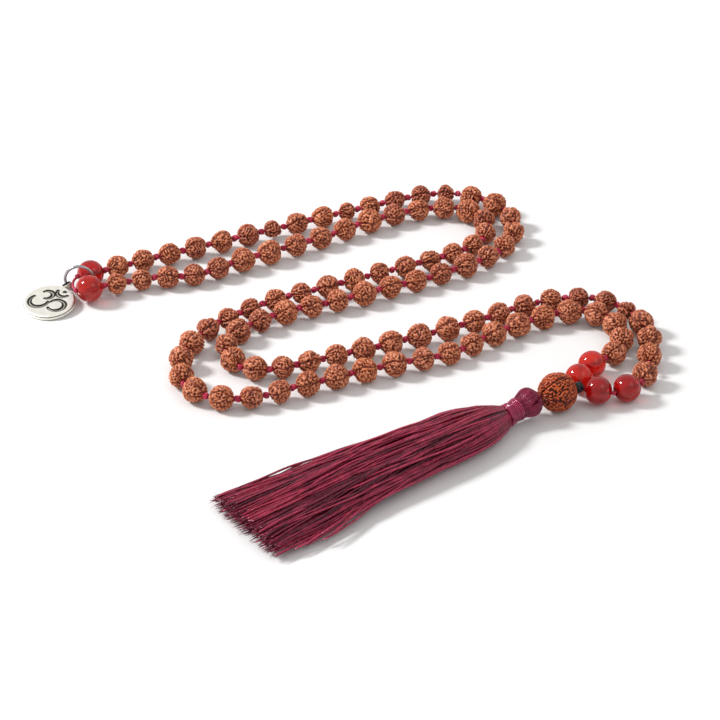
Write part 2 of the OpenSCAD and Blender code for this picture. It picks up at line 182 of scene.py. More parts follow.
@dataclass
class Surface:
    """Vertices and faces of closed shapes, with a value of each name at every vertex."""

    points: Array
    quads: Array
    tris: Array
    quad_uv: Array
    tri_uv: Array
    values: dict[str, Array] = field(default_factory=dict)


def grid(points: Array, closed_rows: bool = False, capped: bool = False, along: Array | None = None,
         **values: Array) -> Surface:
    """Surface over a grid whose columns run round the shape and always close on themselves.

    Rows run along the shape, so that row direction, outward and column direction turn as a
    right-handed screw. The map holds the share of the way round and the length along.

    Args:
        points: Rows by columns by 3.
        closed_rows: Joins the last row to the first, as on a ring.
        capped: Closes the first and the last row with a fan about their middle.
        along: Length at each row, for the map.
        values: Named values, rows by columns, or rows by 1.
    Returns:
        The surface, facing outwards.
    """
    rows, columns = points.shape[:2]
    index = np.arange(rows * columns).reshape(rows, columns)
    down = np.roll(index, -1, axis=0) if closed_rows else index[1:]
    up = index if closed_rows else index[:-1]
    quads = np.stack([up, np.roll(up, -1, 1), np.roll(down, -1, 1), down], axis=-1).reshape(-1, 4)
    length = np.arange(rows) / rows if along is None else along
    low = length if closed_rows else length[:-1]
    step = length[-1] - length[-2]
    high = np.append(length[1:], length[-1] + step) if closed_rows else length[1:]
    u0 = np.broadcast_to(np.arange(columns) / columns, (len(low), columns))
    u1 = u0 + 1 / columns
    v0, v1 = (np.broadcast_to(x[:, None], u0.shape) for x in (low, high))
    quad_uv = np.stack([u0, v0, u1, v0, u1, v1, u0, v1], axis=-1).reshape(-1, 4, 2)
    flat = points.reshape(-1, 3)
    tris = np.zeros((0, 3), int)
    made = {k: np.broadcast_to(x, (rows, columns)).reshape(-1) for k, x in values.items()}
    if capped:
        middles = np.stack([points[0].mean(0), points[-1].mean(0)])
        first, last = index[0], index[-1]
        start = np.stack([np.full(columns, len(flat)), np.roll(first, -1), first], axis=-1)
        end = np.stack([np.full(columns, len(flat) + 1), last, np.roll(last, -1)], axis=-1)
        flat = np.concatenate([flat, middles])
        tris = np.concatenate([start, end])
        made = {k: np.append(x, [x[0], x[-1]]) for k, x in made.items()}
    tri_uv = np.zeros((len(tris), 3, 2))
    return Surface(flat, quads, tris, quad_uv, tri_uv, made)


def joined(parts: Sequence[Surface]) -> Surface:
    """Several surfaces as one, each still closed on its own.

    Args:
        parts: Surfaces that hold the same named values.
    Returns:
        One surface.
    """
    starts = np.cumsum([0] + [len(p.points) for p in parts[:-1]])
    names = parts[0].values.keys()
    return Surface(
        np.concatenate([p.points for p in parts]),
        np.concatenate([p.quads + s for p, s in zip(parts, starts)]),
        np.concatenate([p.tris + s for p, s in zip(parts, starts)]),
        np.concatenate([p.quad_uv for p in parts]),
        np.concatenate([p.tri_uv for p in parts]),
        {k: np.concatenate([p.values[k] for p in parts]) for k in names},
    )


def sweep(path: Array, radius: Array | float, sides: int, closed: bool = False,
          **values: Array) -> Surface:
    """Round tube along a path.

    At each point of the path the tube's ring is centre + r (n cos a + b sin a), where n is the
    part of a fixed reference that is square to the path's direction t there, and b is t x n.

    Args:
        path: Points along the middle, one a row.
        radius: Radius, or one radius for each point.
        sides: Number of sides.
        closed: True for a loop.
        values: Named values, one for each point of the path.
    Returns:
        The tube, capped unless it is a loop.
    """
    ahead = np.roll(path, -1, 0) - np.roll(path, 1, 0) if closed else np.gradient(path, axis=0)
    t = unit(ahead)
    spread = np.linalg.eigh(t.T @ t)[1][:, 0]
    n = unit(spread - (t @ spread)[:, None] * t)
    b = np.cross(t, n)
    r = np.broadcast_to(radius, len(path))[:, None, None]
    ring = around(round_angles(sides), n[:, None], b[:, None])
    columns = {k: np.asarray(v)[:, None] for k, v in values.items()}
    return grid(path[:, None] + r * ring, closed, not closed, lengths_along(path), **columns)


def add_piece(name: str, surface: Surface, finish: "Finish", body: str,
              stands_for: Iterable[str] = ()) -> bpy.types.Object:
    """Makes a shown piece from a surface.

    Args:
        name: The piece's name.
        surface: Its vertices, faces and values.
        finish: Its finish.
        body: The CAD body that it moves with.
        stands_for: CAD nodes that it replaces.
    Returns:
        The new object.
    """
    mesh = bpy.data.meshes.new(name)
    corners = np.concatenate([surface.quads.ravel(), surface.tris.ravel()]).astype(np.int32)
    n_quads, n_tris = len(surface.quads), len(surface.tris)
    starts = np.concatenate([np.arange(n_quads) * 4, n_quads * 4 + np.arange(n_tris) * 3])
    mesh.vertices.add(len(surface.points))
    mesh.vertices.foreach_set("co", surface.points.astype(np.float32).ravel())
    mesh.loops.add(len(corners))
    mesh.loops.foreach_set("vertex_index", corners)
    mesh.polygons.add(len(starts))
    mesh.polygons.foreach_set("loop_start", starts.astype(np.int32))
    mesh.polygons.foreach_set("use_smooth", np.ones(len(starts), bool))
    layer = mesh.uv_layers.new(name="Lay")
    uv = np.concatenate([surface.quad_uv.reshape(-1, 2), surface.tri_uv.reshape(-1, 2)])
    layer.uv.foreach_set("vector", uv.astype(np.float32).ravel())
    for key, value in surface.values.items():
        attribute = mesh.attributes.new(key, "FLOAT", "POINT")
        attribute.data.foreach_set("value", value.astype(np.float32))
    mesh.update(calc_edges=True)
    mesh.validate()
    mesh.materials.append(finish.material())
    piece = bpy.data.objects.new(name, mesh)
    bpy.context.scene.collection.objects.link(piece)
    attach(piece, body)
    if stands_for:
        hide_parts(*stands_for)
    logging.info("%s: %d faces on %s", name, len(starts), body)
    return piece


# ---------------------------------------------------------------- the frame


def read(items: bpy.types.bpy_prop_collection, key: str, width: int = 1, kind: type = float) -> Array:
    """One property of a whole collection, an item a row, where width is how many numbers it has."""
    flat = np.zeros(len(items) * width, kind)
    items.foreach_get(key, flat)
    return flat.reshape(-1, width)


def node_points(node: str) -> Array:
    """Vertices of a CAD node, one a row."""
    return read(frame["nodes"][node].data.vertices, "co", 3)


def middle(node: str) -> Array:
    """Middle of a CAD node's box."""
    low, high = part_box(node)
    return (np.array(low) + np.array(high)) / 2


def joint(name: str) -> tuple[Array, Array]:
    """Place and unit axis of a joint."""
    found = next(j for j in frame["joints"] if j["name"] == name)
    return np.array(found["pos_m"], float), unit(np.array(found["axis"], float))


def extent(node: str, origin: Array, axes: Array) -> tuple[Array, Array]:
    """Lowest and highest coordinates of a CAD node in a frame of its own.

    Args:
        node: The node.
        origin: Where that frame's coordinates are 0.
        axes: Its three unit axes, one a row.
    Returns:
        Lowest and highest coordinates.
    """
    local = (node_points(node) - origin) @ axes.T
    return local.min(0), local.max(0)


lay_shift = middle("guru_bead") - np.array([*GURU_AT, middle("guru_bead")[2]])


# ---------------------------------------------------------------- shader nodes


class Value:
    """A number socket. Arithmetic on it adds Math nodes."""

    def __init__(self, sheet: "NodeSheet", socket: bpy.types.NodeSocket) -> None:
        """Wraps a socket of a sheet."""
        self.sheet = sheet
        self.socket = socket

    def _math(self, operation: str, a: "Value | float", b: "Value | float" = 0.0) -> "Value":
        """The result of one Math node."""
        return self.sheet.value("ShaderNodeMath", {"operation": operation}, {0: a, 1: b})

    def __add__(self, other: "Value | float") -> "Value":
        """Sum."""
        return self._math("ADD", self, other)

    __radd__ = __add__

    def __sub__(self, other: "Value | float") -> "Value":
        """Difference."""
        return self._math("SUBTRACT", self, other)

    def __rsub__(self, other: float) -> "Value":
        """Difference from a number."""
        return self._math("SUBTRACT", other, self)

    def __mul__(self, other: "Value | float") -> "Value":
        """Product."""
        return self._math("MULTIPLY", self, other)

    __rmul__ = __mul__

    def sine(self) -> "Value":
        """Sine of a number in radians."""
        return self._math("SINE", self)


class NodeSheet:
    """The node tree of one material."""

    def __init__(self, name: str) -> None:
        """Starts an empty material."""
        self.material = bpy.data.materials.new(name)
        self.material.use_nodes = True
        self.tree = self.material.node_tree
        self.tree.nodes.clear()

    def node(self, kind: str, settings: dict, inputs: dict, output: int | str = 0) -> bpy.types.NodeSocket:
        """Adds any node.

        Args:
            kind: The node's type.
            settings: Its own settings. "stops" holds a ramp's places and colours.
            inputs: A value, socket or Value for each input, by name or number.
            output: The output that is wanted, by name or number.
        Returns:
            That output's socket.
        """
        made = self.tree.nodes.new(kind)
        for key, value in settings.items():
            if key == "stops":
                self._set_stops(made.color_ramp, value)
            else:
                setattr(made, key, value)
        for key, value in inputs.items():
            socket = made.inputs[key]
            source = value.socket if isinstance(value, Value) else value
            if isinstance(source, bpy.types.NodeSocket):
                self.tree.links.new(source, socket)
            else:
                socket.default_value = source
        return made.outputs[output] if made.outputs else None

    @staticmethod
    def _set_stops(ramp: bpy.types.ColorRamp, stops: Sequence[tuple[float, Colour]]) -> None:
        """Gives a ramp its places and colours."""
        while len(ramp.elements) < len(stops):
            ramp.elements.new(1.0)
        for element, (place, colour) in zip(ramp.elements, stops):
            element.position = place
            element.color = colour

    def value(self, kind: str, settings: dict, inputs: dict, output: int | str = 0) -> Value:
        """Adds a node whose output is a number."""
        return Value(self, self.node(kind, settings, inputs, output))

    def attribute(self, name: str) -> Value:
        """The piece's own value of that name."""
        return self.value("ShaderNodeAttribute", {"attribute_name": name}, {}, "Fac")

    def places(self) -> bpy.types.NodeSocket:
        """Object coordinates."""
        return self.node("ShaderNodeTexCoord", {}, {}, "Object")

    def noise(self, scale: float, detail: float = 2.0, stretch: tuple | None = None) -> Value:
        """Noise from 0 to 1 on Object coordinates, with scale in cells a metre."""
        at = self.places()
        if stretch:
            at = self.node("ShaderNodeMapping", {}, {"Vector": at, "Scale": stretch})
        inputs = {"Vector": at, "Scale": scale, "Detail": detail}
        return self.value("ShaderNodeTexNoise", {}, inputs, "Fac")

    def ramp(self, by: Value, stops: Sequence[tuple[float, Colour]]) -> bpy.types.NodeSocket:
        """Colour by a number."""
        return self.node("ShaderNodeValToRGB", {"stops": stops}, {"Fac": by}, "Color")

    def tinted(self, colour: bpy.types.NodeSocket, by: bpy.types.NodeSocket) -> bpy.types.NodeSocket:
        """Product of two colours."""
        settings = {"data_type": "RGBA", "blend_type": "MULTIPLY"}
        return self.node("ShaderNodeMix", settings, {0: 1.0, 6: colour, 7: by}, 2)

    def bump(self, height: Value, distance: float, strength: float = 1.0,
             below: bpy.types.NodeSocket | None = None) -> bpy.types.NodeSocket:
        """Normal of a height, where distance is the height's full size in metres."""
        inputs = {"Height": height, "Distance": distance, "Strength": strength}
        if below is not None:
            inputs["Normal"] = below
        return self.node("ShaderNodeBump", {}, inputs)

    def finish(self, inputs: dict) -> bpy.types.Material:
        """Ends the material with a Principled shader."""
        shader = self.node("ShaderNodeBsdfPrincipled", {}, inputs)
        self.node("ShaderNodeOutputMaterial", {}, {"Surface": shader})
        return self.material


class Finish:
    """A finish that makes its material once."""

    made: dict["Finish", bpy.types.Material] = {}

    def material(self) -> bpy.types.Material:
        """The finish's material."""
        if self not in Finish.made:
            Finish.made[self] = self.dress()
        return Finish.made[self]

    def dress(self) -> bpy.types.Material:
        """Builds the material."""
        raise NotImplementedError


@dataclass(frozen=True)
class SeedFinish(Finish):
    """Dry ridged seed: dark in the grooves and paler towards the crests, from its own colour together with
    painted shade in the grooves and a painted highlight on the crests.
    """

    name: str
    # The groove colour is the seed's own dark colour deepened by painted shade. The polish colour is
    # partly worn polish and partly a painted highlight on the highest crests.
    groove_and_shade: Colour
    flank: Colour
    crest: Colour
    polish: Colour
    dull_tint: Colour
    warm_tint: Colour
    roughness: float
    groove_end: float = 0.3
    flank_end: float = 0.68
    gloss: float = 0.36

    def dress(self) -> bpy.types.Material:
        """Colour and roughness follow the relief, with a fine grain over all. The colour paints shade into
        the grooves and a highlight onto the crests.
        """
        sheet = NodeSheet(self.name)
        relief, tone = sheet.attribute("relief"), sheet.attribute("tone")
        mottle = sheet.noise(750.0, 3.0)
        level = relief * 0.82 + mottle * 0.42 - 0.14
        # The dark stop in the grooves is painted shade, and the top stop on the crests is a painted
        # highlight.
        stops = [(0.0, self.groove_and_shade), (self.groove_end, self.flank), (self.flank_end, self.crest),
                 (1.0, self.polish)]
        colour = sheet.ramp(level, stops)
        tint = sheet.ramp(tone, [(0.0, self.dull_tint), (0.5, (1, 1, 1, 1)), (1.0, self.warm_tint)])
        grain = sheet.noise(3400.0, 2.0)
        return sheet.finish({
            "Base Color": sheet.tinted(colour, tint),
            "Roughness": self.roughness - relief * 0.12,
            "Specular IOR Level": self.gloss,
            "Normal": sheet.bump(grain, 0.00006, 0.5),
        })


@dataclass(frozen=True)
class StoneFinish(Finish):
    """Polished translucent stone with faint clouds inside, and a tone that lifts it towards pale orange to
    paint the glow of light passing through.
    """

    name: str
    deep: Colour
    bright: Colour
    pale: Colour
    transmission: float
    scatter: float

    def dress(self) -> bpy.types.Material:
        """Cloudy colour under a clear polish."""
        sheet = NodeSheet(self.name)
        tone = sheet.attribute("tone")
        cloud = sheet.noise(210.0, 2.5, (1.0, 1.0, 1.6))
        # Tone shifts the level. It is random per stone, and high on the inner row as a painted glow of
        # transmitted light.
        level = cloud * 0.9 + tone * 0.5 - 0.2
        colour = sheet.ramp(level, [(0.15, self.deep), (0.55, self.bright), (1.0, self.pale)])
        return sheet.finish({
            "Base Color": colour,
            "Roughness": 0.06,
            "IOR": 1.46,
            "Transmission Weight": self.transmission,
            "Subsurface Weight": self.scatter,
            "Subsurface Radius": (0.0035, 0.0008, 0.0006),
            "Subsurface Scale": 1.0,
        })


@dataclass(frozen=True)
class ThreadFinish(Finish):
    """Twisted thread: plies that wind round it, with painted shade between them and painted light on them,
    and a soft sheen.
    """

    name: str
    shade: Colour
    body: Colour
    light: Colour
    sheen: float
    sheen_tint: Colour
    roughness: float
    plies: int
    twist: float
    relief: float
    ply_shade: float = 0.3
    lustre: float = 0.4
    lustre_tint: Colour = (1, 1, 1, 1)

    def dress(self) -> bpy.types.Material:
        """Diagonal plies on the piece's own map, as relief and as colour that paints shade between the
        plies and light on them.
        """
        sheet = NodeSheet(self.name)
        at = sheet.node("ShaderNodeUVMap", {"uv_map": "Lay"}, {})
        u, v = (sheet.value("ShaderNodeSeparateXYZ", {}, {0: at}, axis) for axis in ("X", "Y"))
        winding = ((u * float(self.plies) + v * (1 / self.twist)) * TURN).sine() * 0.5 + 0.5
        mottle = sheet.noise(420.0, 3.0)
        fuzz = sheet.noise(5200.0, 2.0)
        tone = sheet.attribute("tone")
        # The winding term paints shade in the grooves between plies and light on their crests.
        level = (winding - 0.5) * self.ply_shade + mottle * 0.6 + fuzz * 0.3 + tone * 0.66 + 0.05
        colour = sheet.ramp(level, [(0.18, self.shade), (0.52, self.body), (0.9, self.light)])
        plies = sheet.bump(winding, self.relief)
        return sheet.finish({
            "Base Color": colour,
            "Roughness": self.roughness - fuzz * 0.12,
            "Sheen Weight": self.sheen,
            "Sheen Roughness": 0.35,
            "Sheen Tint": self.sheen_tint,
            "Specular IOR Level": self.lustre,
            "Specular Tint": self.lustre_tint,
            "Normal": sheet.bump(fuzz, 0.00005, 0.6, plies),
        })


@dataclass(frozen=True)
class SilverFinish(Finish):
    """Antique silver: worn bright on the open faces and dark where polish never reaches."""

    name: str
    bright: Colour
    worn: Colour
    oxide: Colour
    roughness: float
    grain: float

    def dress(self) -> bpy.types.Material:
        """Metal whose colour and roughness follow the oxide value."""
        sheet = NodeSheet(self.name)
        dark = sheet.attribute("oxide")
        mottle = sheet.noise(1500.0, 3.0)
        speck = sheet.noise(6500.0, 2.0)
        level = dark * 1.0 + mottle * 0.22 - 0.1
        colour = sheet.ramp(level, [(0.0, self.bright), (0.3, self.worn), (0.75, self.oxide)])
        return sheet.finish({
            "Base Color": colour,
            "Metallic": 1.0 - dark * 0.35,
            "Roughness": dark * 0.3 + mottle * 0.15 + self.roughness,
            "Normal": sheet.bump(speck * 0.6 + mottle * 0.7, self.grain),
        })


# Seed ramps: the groove colours hold painted shade and the polish colours a painted highlight.
SEED = SeedFinish(
    "seed_dry", groove_and_shade=(0.040, 0.005, 0.003, 1), flank=(0.21, 0.040, 0.015, 1),
    crest=(0.45, 0.116, 0.045, 1), polish=(0.72, 0.31, 0.17, 1), dull_tint=(0.74, 0.60, 0.64, 1),
    warm_tint=(1.0, 0.95, 0.80, 1), roughness=0.5)
GURU_SEED = SeedFinish(
    "guru_seed_oiled", groove_and_shade=(0.009, 0.002, 0.002, 1), flank=(0.10, 0.013, 0.005, 1),
    crest=(0.31, 0.040, 0.008, 1), polish=(0.52, 0.11, 0.026, 1), dull_tint=(0.6, 0.5, 0.5, 1),
    warm_tint=(1.0, 0.9, 0.7, 1), roughness=0.42, flank_end=0.64, gloss=0.28)
STONE = StoneFinish(
    "carnelian", deep=(0.30, 0.002, 0.005, 1), bright=(0.54, 0.004, 0.005, 1),
    pale=(0.86, 0.04, 0.01, 1), transmission=0.6, scatter=0.12)
TWINE = ThreadFinish(
    "crimson_twine", shade=(0.10, 0.002, 0.014, 1), body=(0.42, 0.008, 0.045, 1),
    light=(0.70, 0.05, 0.12, 1), sheen=0.15, sheen_tint=(1.0, 0.45, 0.55, 1), roughness=0.45,
    plies=3, twist=0.0011, relief=0.00006)
BLACK = ThreadFinish(
    "black_waxed_thread", shade=(0.003, 0.003, 0.004, 1), body=(0.010, 0.010, 0.012, 1),
    light=(0.035, 0.035, 0.04, 1), sheen=0.1, sheen_tint=(0.7, 0.75, 0.8, 1), roughness=0.55,
    plies=3, twist=0.0012, relief=0.00007)
TASSEL = ThreadFinish(
    "maroon_rayon", shade=(0.035, 0.001, 0.006, 1), body=(0.155, 0.0045, 0.021, 1),
    light=(0.42, 0.032, 0.080, 1), sheen=0.05, sheen_tint=(1.0, 0.5, 0.65, 1), roughness=0.33,
    plies=2, twist=0.0021, relief=0.00004, ply_shade=0.14, lustre=0.65, lustre_tint=(1.0, 0.55, 0.68, 1))
# On the head the many plies are its fold lines, so their colour paints shade in the folds and light on
# their crests.
FOLDS = ThreadFinish(
    "maroon_folds", shade=(0.05, 0.001, 0.009, 1), body=(0.19, 0.005, 0.031, 1),
    light=(0.42, 0.032, 0.092, 1), sheen=0.05, sheen_tint=(1.0, 0.5, 0.65, 1), roughness=0.32,
    plies=56, twist=0.05, relief=0.0002, ply_shade=0.42, lustre=0.65, lustre_tint=(1.0, 0.55, 0.68, 1))
WRAP = ThreadFinish(
    "maroon_winding", shade=(0.08, 0.002, 0.018, 1), body=(0.25, 0.009, 0.050, 1),
    light=(0.50, 0.06, 0.15, 1), sheen=0.05, sheen_tint=(1.0, 0.6, 0.75, 1), roughness=0.2,
    plies=1, twist=0.009, relief=0.00001, ply_shade=0.1, lustre=0.8, lustre_tint=(1.0, 0.7, 0.8, 1))
SILVER = SilverFinish(
    "antique_silver", bright=(0.93, 0.91, 0.84, 1), worn=(0.66, 0.64, 0.57, 1),
    oxide=(0.018, 0.016, 0.014, 1), roughness=0.34, grain=0.00003)
STEEL = SilverFinish(
    "ring_steel", bright=(0.44, 0.44, 0.46, 1), worn=(0.3, 0.3, 0.31, 1), oxide=(0.03, 0.03, 0.03, 1),
    roughness=0.14, grain=0.000004)


# ---------------------------------------------------------------- strands


@dataclass
class Bead:
    """One bead of a strand, as the frame has it."""

    node: str
    body: str
    centre: Array
    axis: Array
    radius: float
    to_knots: tuple[float, float]

    def directions(self, rows: int, columns: int, bore_radius: float) -> tuple[Array, Array, Array]:
        """Directions over the bead, from one edge of its bore to the other.

        Each is sin t (cos u e1 + sin u e2) + cos t axis, where t is the angle from the bore, u the
        angle round it, and e1 and e2 are square to it.

        Args:
            rows: Steps of t.
            columns: Steps of u.
            bore_radius: Distance from the axis at which the rows end.
        Returns:
            The unit directions, rows by columns by 3, then t as a column and u as a row.
        """
        edge = math.asin(bore_radius / self.radius)
        theta = np.linspace(math.pi - edge, edge, rows)[:, None]
        turn = round_angles(columns)[None]
        e1, e2 = square_to(self.axis)
        along = (np.cos(theta) * np.ones_like(turn))[..., None] * self.axis
        return np.sin(theta)[..., None] * around(turn, e1, e2) + along, theta, turn


@dataclass
class Strand:
    """One of the two strands, with its knots and beads in order from the guru bead."""

    row: Row
    route: Sequence[tuple[float, float]]
    root_body: str = "strands"
    beads_on_strand: int = 54
    first_stones: int = 2
    singles: int = 20
    route_steps: int = 20
    knot_gap: float = 3 * MM
    curve: Array = field(init=False)
    along: Array = field(init=False)
    knots: Array = field(init=False)
    beads: list[Bead] = field(init=False)

    def __post_init__(self) -> None:
        """Reads the knots, then the beads between them."""
        first = middle("guru_knot")
        chosen = np.array(self.route) + lay_shift[:2]
        self.curve = smooth_curve(np.concatenate([first[None, :2], chosen]), self.route_steps)
        self.along = lengths_along(self.curve)
        self.knots = np.concatenate([first[None], self._clusters(f"knots_{self.row.value}_strand")])
        if len(self.knots) != self.beads_on_strand + 1:
            raise ValueError(f"{len(self.knots)} knots on the {self.row.value} strand")
        self.beads = [self._bead(k) for k in range(self.beads_on_strand)]

    def _clusters(self, node: str) -> Array:
        """Middles of a node's separate knots, in order along the route."""
        points = node_points(node)
        far = np.linalg.norm(points[:, None, :2] - self.curve[None], axis=2)
        place = self.along[far.argmin(axis=1)]
        order = np.argsort(place, kind="stable")
        breaks = np.flatnonzero(np.diff(place[order]) > self.knot_gap) + 1
        groups = np.split(points[order], breaks)
        return np.array([(g.min(0) + g.max(0)) / 2 for g in groups])

    def _node(self, k: int) -> str:
        """CAD node of bead k."""
        row, seed = self.row.value, k - self.first_stones
        if seed < 0:
            return f"stone_{row}_{k + 1}"
        if k == self.beads_on_strand - 1:
            return f"stone_{row}_end"
        return f"bead_{row}_{seed + 1:02d}" if seed < self.singles else f"beads_{row}_rest"

    def _bead(self, k: int) -> Bead:
        """Bead k: it sits where its joint is, or midway between its knots."""
        node = self._node(k)
        before, after = self.knots[k], self.knots[k + 1]
        own = not node.endswith("rest")
        centre = joint(f"{node}_spin")[0] if own else (before + after) / 2
        reach = np.linalg.norm(node_points(node) - centre, axis=1)
        near = reach[reach < np.linalg.norm(after - before) / 2]
        to_knots = (np.linalg.norm(centre - before), np.linalg.norm(after - centre))
        return Bead(node, node if own else self.root_body, centre, unit(after - before),
                    float(near.max()), to_knots)


@dataclass
class SeedShape:
    """Relief of a ridged seed: worm-shaped ridges, five seams from end to end and knot dimples.

    The lengths of the drift, bend and fine waves are in wavelengths, and a step of the relief is
    its share and the levels between which it rises.
    """

    columns: int = 116
    rows: int = 58
    wavelength: float = 0.9 * MM
    depth: float = 0.6 * MM
    waves: int = 34
    drift_length: float = 5.0
    drift_waves: int = 12
    drift_share: float = 0.12
    bend_length: float = 3.0
    bend_waves: int = 8
    bend: float = 0.12
    fine_length: float = 0.55
    fine_share: float = 0.42
    relief_steps: tuple[tuple[float, float, float], ...] = ((0.72, -1.25, 0.2), (0.28, -0.6, 1.9))
    seams: int = 5
    seam_width: float = 0.26 * MM
    seam_wander: float = 0.1
    seam_blur: float = 0.7
    seam_sink: float = 0.3
    bore_radius: float = 0.62 * MM
    dimple_radius: float = 1.22 * MM
    lump: float = 0.034
    lump_limits: tuple[float, float] = (-2.2, 1.2)

    def build(self, bead: Bead, tone: float, rng: np.random.Generator) -> Surface:
        """A closed seed with a bore.

        The radius at each direction is R (1 + lumps) - depth (1 - relief), lowered along the
        seams. Near each end it stops at the dimple, a ball round the knot:
        c cos t - sqrt(q^2 - c^2 sin^2 t), where t is the angle from the bore, c the distance to
        the knot and q the dimple's radius.

        Args:
            bead: Where it lies and how big it is.
            tone: From 0, a dull purple seed, to 1, a warm one.
            rng: Source of the relief.
        Returns:
            The seed's surface with its relief and tone.
        """
        way, theta, turn = bead.directions(self.rows, self.columns, self.bore_radius)
        places = way.reshape(-1, 3) * bead.radius
        drift = wave_field(places, self.drift_length * self.wavelength, self.drift_waves, rng)
        relief = self._relief(places, drift, rng).reshape(way.shape[:2])
        drift = drift.reshape(relief.shape)
        sector = TURN / self.seams
        off = np.abs((turn + self.seam_wander * drift + rng.uniform(0, TURN)) % sector - sector / 2)
        seam = np.exp(-((off * np.sin(theta) * bead.radius / self.seam_width) ** 2))
        relief = relief * (1 - self.seam_blur * seam)
        lumps = self.lump * np.clip(drift, *self.lump_limits)
        reach = bead.radius * (1 + lumps) - self.depth * (1 - relief + self.seam_sink * seam)
        for sign, to_knot in zip((-1, 1), bead.to_knots):
            c = to_knot * sign * np.cos(theta)
            inside = self.dimple_radius**2 - (to_knot * np.sin(theta)) ** 2
            dimple = np.where((inside > 0) & (c > 0), c - np.sqrt(np.maximum(inside, 0)), np.inf)
            reach = np.minimum(reach, dimple)
        points = bead.centre + way * reach[..., None]
        return grid(points, closed_rows=True, relief=relief, tone=np.full_like(relief, tone))

    def _relief(self, places: Array, drift: Array, rng: np.random.Generator) -> Array:
        """Ridges at 1 and grooves at 0: soft steps on a random field.

        The field is waves of one length on places that longer waves have bent, plus shares of
        finer waves and of the slow drift.

        Args:
            places: Places on the ball, one a row.
            drift: The slow drift there.
            rng: Source of the waves.
        Returns:
            The relief at each place.
        """
        bends = [wave_field(places, self.bend_length * self.wavelength, self.bend_waves, rng)
                 for _ in range(3)]
        bent = places + self.bend * self.wavelength * np.stack(bends, axis=1)
        ridges = wave_field(bent, self.wavelength, self.waves, rng)
        fine = wave_field(places, self.fine_length * self.wavelength, self.waves, rng)
        level = ridges + self.drift_share * drift + self.fine_share * fine
        return sum(share * ease(low, high, level) for share, low, high in self.relief_steps)


@dataclass
class SeedBeads:
    """All ridged seeds of a strand: single ones on their own joints, the rest in short runs.

    A seed's tone is the middle tone, a random part and a part that grows with its size.
    """

    strand: Strand
    seed: int
    run: int = 8
    middle_tone: float = 0.5
    tone_spread: float = 0.16
    tone_by_size: float = 1.6
    shape: SeedShape = field(default_factory=SeedShape)

    def build(self) -> None:
        """Makes each single seed a piece, and each run of the rest a piece."""
        rng = np.random.default_rng(self.seed)
        row = self.strand.row.value
        seeds = [b for b in self.strand.beads if b.node.startswith("bead")]
        mean = float(np.mean([b.radius for b in seeds]))
        runs: dict[str, list[Surface]] = {}
        for place, bead in enumerate(seeds):
            by_size = self.tone_by_size * (bead.radius / mean - 1)
            tone = self.middle_tone + self.tone_spread * rng.normal() + by_size
            surface = self.shape.build(bead, float(np.clip(tone, 0.02, 1.0)), rng)
            if bead.body == bead.node:
                add_piece(f"seed_{row}_{place + 1:02d}", surface, SEED, bead.body, [bead.node])
            else:
                number = (place - self.strand.singles) // self.run + 1
                runs.setdefault(f"seeds_{row}_run_{number}", []).append(surface)
        for name, surfaces in runs.items():
            add_piece(name, joined(surfaces), SEED, self.strand.root_body, [f"beads_{row}_rest"])


@dataclass
class Stones:
    """Polished round spacers, bored and countersunk for their knots."""

    strand: Strand
    seed: int
    columns: int = 72
    rows: int = 40
    bore_radius: float = 0.6 * MM
    dimple_radius: float = 0.95 * MM
    dimple_depth: float = 0.4 * MM
    # Inner row stones get a much brighter tone than the outer row: a painted glow of light passing through
    # them.
    row_glow: ClassVar[dict[Row, float]] = {Row.OUTER: 0.25, Row.INNER: 0.85}

    def build(self) -> None:
        """Makes each stone a piece on its own joint."""
        rng = np.random.default_rng(self.seed)
        for bead in self.strand.beads:
            if bead.node.startswith("stone"):
                tone = self.row_glow[self.strand.row] + rng.uniform(-0.1, 0.1)
                surface = self._surface(bead, tone)
                add_piece(f"polished_{bead.node}", surface, STONE, bead.body, [bead.node])

    def _surface(self, bead: Bead, tone: float) -> Surface:
        """A ball whose rows run from end to end, joined through the bore, with eased dimples.

        Args:
            bead: Where it lies and how big it is.
            tone: Darker towards 0 and brighter towards 1. It is high on the inner row to paint the glow of
                light passing through.
        Returns:
            The stone's surface.
        """
        way, theta, _ = bead.directions(self.rows, self.columns, self.bore_radius)
        side = bead.radius * np.sin(theta)
        sink = self.dimple_depth * (1 - ease(self.bore_radius, self.dimple_radius, side))
        points = bead.centre + way * (bead.radius - sink)[..., None]
        return grid(points, closed_rows=True, tone=np.full(way.shape[:2], tone))


